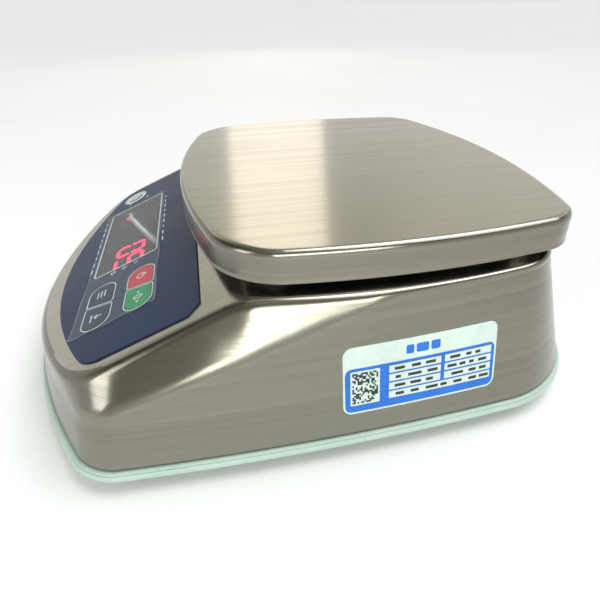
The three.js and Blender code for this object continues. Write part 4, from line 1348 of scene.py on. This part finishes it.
softPieces = {
    "platter_carrier": ("castAluminium", "cast_aluminium", 0.8),
    "carrier_bracket": ("castAluminium", "cast_aluminium", 0.6),
    "load_cell": ("castAluminium", "cast_aluminium", 0.4),
    "load_cell_mount": ("castAluminium", "cast_aluminium", 0.4),
    "overload_stop": ("zincPlate", "fastener", 0.3),
    "battery": ("mouldedAbs", "black_plastic", 0.8),
    "battery_strap": ("rolledStainless", "steel", 0.3),
    "main_board": ("solderMask", "circuit_board", 0.2),
    "display_board": ("solderMask", "circuit_board", 0.2),
    "key_switch_plate": ("mouldedAbs", "black_plastic", 0.2),
    "power_socket": ("mouldedAbs", "black_plastic", 0.25),
    "socket_nut": ("zincPlate", "fastener", 0.25),
    "socket_cap": ("mouldedRubber", "black_rubber", 0.35),
}
for node in frame["nodes"]:
    if node.startswith("platter_pad_"):
        softPieces[node] = ("mouldedRubber", "black_rubber", 0.5)
    if node.startswith(("cell_bolt_", "carrier_bolt_", "carrier_screw_", "base_screw_", "weld_nut_")):
        softPieces[node] = ("zincPlate", "fastener", 0.25)
for node, (materialName, slotName, width) in softPieces.items():
    words = node.split("_")
    pieceName = words[0] + "".join(word.capitalize() for word in words[1:])
    makePiece(pieceName, softened(node, width), [materialName], bodyOf(node), [node])
print("inner works", len(softPieces))

# Boot: a folded rubber skirt from the post down to the deck
bootProfile = [(14.1, bootHigh.z), (15.2, bootHigh.z - 0.1), (17.5, bootHigh.z - 0.9),
               (19.5, bootHigh.z - 1.05), (21.5, bootHigh.z - 0.6), (23.5, bootHigh.z - 0.75),
               (26, bootHigh.z - 1.05),
               (30.2, bootHigh.z - 1.1), (31, bootHigh.z - 1.3), (31, bootLow.z + 0.1), (30.6, bootLow.z),
               (26, bootLow.z), (20, bootLow.z + 0.25), (15, bootLow.z + 0.6), (13.6, bootLow.z + 0.9),
               (13.6, bootHigh.z - 0.2), (14.1, bootHigh.z)]
makePiece("deckBoot", meshOf(lathe(bootProfile, 0, platterCentre.y, 72)), ["mouldedRubber"], "housing",
          ["deck_boot"])
baseNode = frame["nodes"]["base_plate"]
baseNode.data.materials.clear()
baseNode.data.materials.append(materials["rolledStainless"])
print("boot and base plate")


def floorMesh(half, cells):
    rows = [[(half * (2 * i / cells - 1), half * (2 * j / cells - 1), 0) for i in range(cells + 1)]
            for j in range(cells + 1)]
    mesh = bpy.data.meshes.new("studioFloor")
    vertices, faces = loft(rows, closedRows=False)
    mesh.from_pydata([Vector(v) for v in vertices], [], faces)
    return mesh


floor = bpy.data.objects.new("studioFloor", floorMesh(12, 12))
floor.data.materials.append(materials["studioPaper"])
bpy.context.scene.collection.objects.link(floor)

studio = {
    # a pale tent: the horizon matches the floor, and the roof has soft light and dark panels
    "skyStops": ((0.0, "#f4f5f4"), (0.6, "#f4f5f4"), (0.67, "#e2e0d6"), (0.76, "#bfbdb0"), (0.84, "#77776e"),
                 (0.93, "#8a8a82"), (1.0, "#d8d8d2")),
    "strength": 0.88,
    "panelCount": 2.6,
    "panelDark": 0.6,
    "panelLight": 1.5,
    "panelsFrom": 0.25,
    "panelsFull": 0.5,
    "sunAngle": 50,
    "sunPower": 2.0,
    "sunFrom": (-0.1, 0.5, 1.0),
    "lamps": (
        # name, place, aimed at, width, height, power, colour
        ("rightBox", (1.15, -0.05, 0.62), (0.1, 0, 0.05), 0.95, 0.34, 9, "#f3fbf1"),
        ("rearStrip", (-1.6, 0.25, 0.9), (0, 0.05, 0.08), 0.4, 1.2, 1.6, "#fff6e6"),
        ("frontStrip", (0.5, -1.4, 0.8), (0, 0, 0.05), 0.5, 0.8, 4, "#ffffff"),
    ),
}
world = bpy.data.worlds.new("studio")
bpy.context.scene.world = world
world.use_nodes = True
sky = world.node_tree
sky.nodes.clear()
direction = addNode(sky, "TexCoord").outputs["Generated"]
parts = addNode(sky, "SeparateXYZ", {}, {0: direction})
height = addNode(sky, "MapRange", {"From Min": -1.0, "From Max": 1.0}, {"Value": parts.outputs["Z"]})
ramp = addNode(sky, "ValToRGB", {}, {"Fac": height.outputs[0]})
stops = ramp.color_ramp.elements
while len(stops) < len(studio["skyStops"]):
    stops.new(0.5)
for stop, (position, hexText) in zip(stops, studio["skyStops"]):
    stop.position = position
    stop.color = linearColour(hexText)
flattened = addNode(sky, "VectorMath", {"operation": "MULTIPLY", 1: (1.0, 1.0, 0.2)}, {0: direction})
panels = addNode(sky, "TexNoise", {"Scale": studio["panelCount"], "Detail": 1.0},
                 {"Vector": flattened.outputs[0]})
brightness = addNode(sky, "MapRange", {"From Min": 0.35, "From Max": 0.65, "To Min": studio["panelDark"],
                                       "To Max": studio["panelLight"]}, {"Value": panels.outputs["Fac"]})
aloft = addNode(sky, "MapRange", {"From Min": studio["panelsFrom"], "From Max": studio["panelsFull"]},
                {"Value": parts.outputs["Z"]})
power = addNode(sky, "Mix", {"data_type": "FLOAT", 2: 1.0}, {0: aloft.outputs[0], 3: brightness.outputs[0]})
strength = addNode(sky, "Math", {"operation": "MULTIPLY", 1: studio["strength"]}, {0: power.outputs[0]})
backdrop = addNode(sky, "Background", {}, {"Color": ramp.outputs["Color"], "Strength": strength.outputs[0]})
addNode(sky, "OutputWorld", {}, {"Surface": backdrop.outputs[0]})


def addLamp(name, kind, place, aim, power, hexText):
    lamp = bpy.data.lights.new(name, kind)
    lamp.energy = power
    lamp.color = linearColour(hexText)[:3]
    holder = bpy.data.objects.new(name, lamp)
    holder.location = place
    holder.rotation_euler = (Vector(aim) - Vector(place)).to_track_quat("-Z", "Y").to_euler()
    holder.visible_camera = False
    bpy.context.scene.collection.objects.link(holder)
    return lamp


for name, place, aim, width, heightOfBox, power, hexText in studio["lamps"]:
    lamp = addLamp(name, "AREA", place, aim, power, hexText)
    lamp.shape = "RECTANGLE"
    lamp.size = width
    lamp.size_y = heightOfBox
sun = addLamp("tentRoof", "SUN", studio["sunFrom"], (0, 0, 0), studio["sunPower"], "#fbfbff")
sun.angle = math.radians(studio["sunAngle"])

view = {"place": (0.27287, -0.04396, 0.17588), "yaw": 11.18, "pitch": 32.23, "roll": -1.15, "lens": 28.73}
yaw, pitch, roll = (math.radians(view[key]) for key in ("yaw", "pitch", "roll"))
ahead = Vector((-math.cos(yaw) * math.cos(pitch), math.sin(yaw) * math.cos(pitch), -math.sin(pitch)))
rightward = ahead.cross(Vector((0, 0, 1))).normalized()
upward = rightward.cross(ahead)
across = rightward * math.cos(roll) + upward * math.sin(roll)
over = upward * math.cos(roll) - rightward * math.sin(roll)
cameraData = bpy.data.cameras.new("camera")
cameraData.lens = view["lens"]
cameraData.sensor_width = 36
cameraData.clip_start = 0.01
camera = bpy.data.objects.new("camera", cameraData)
camera.matrix_world = Matrix.Translation(view["place"]) @ Matrix((across, over, -ahead)).transposed().to_4x4()
bpy.context.scene.collection.objects.link(camera)
bpy.context.scene.camera = camera
bpy.context.scene.view_settings.view_transform = "Standard"
print("floor, light and camera")
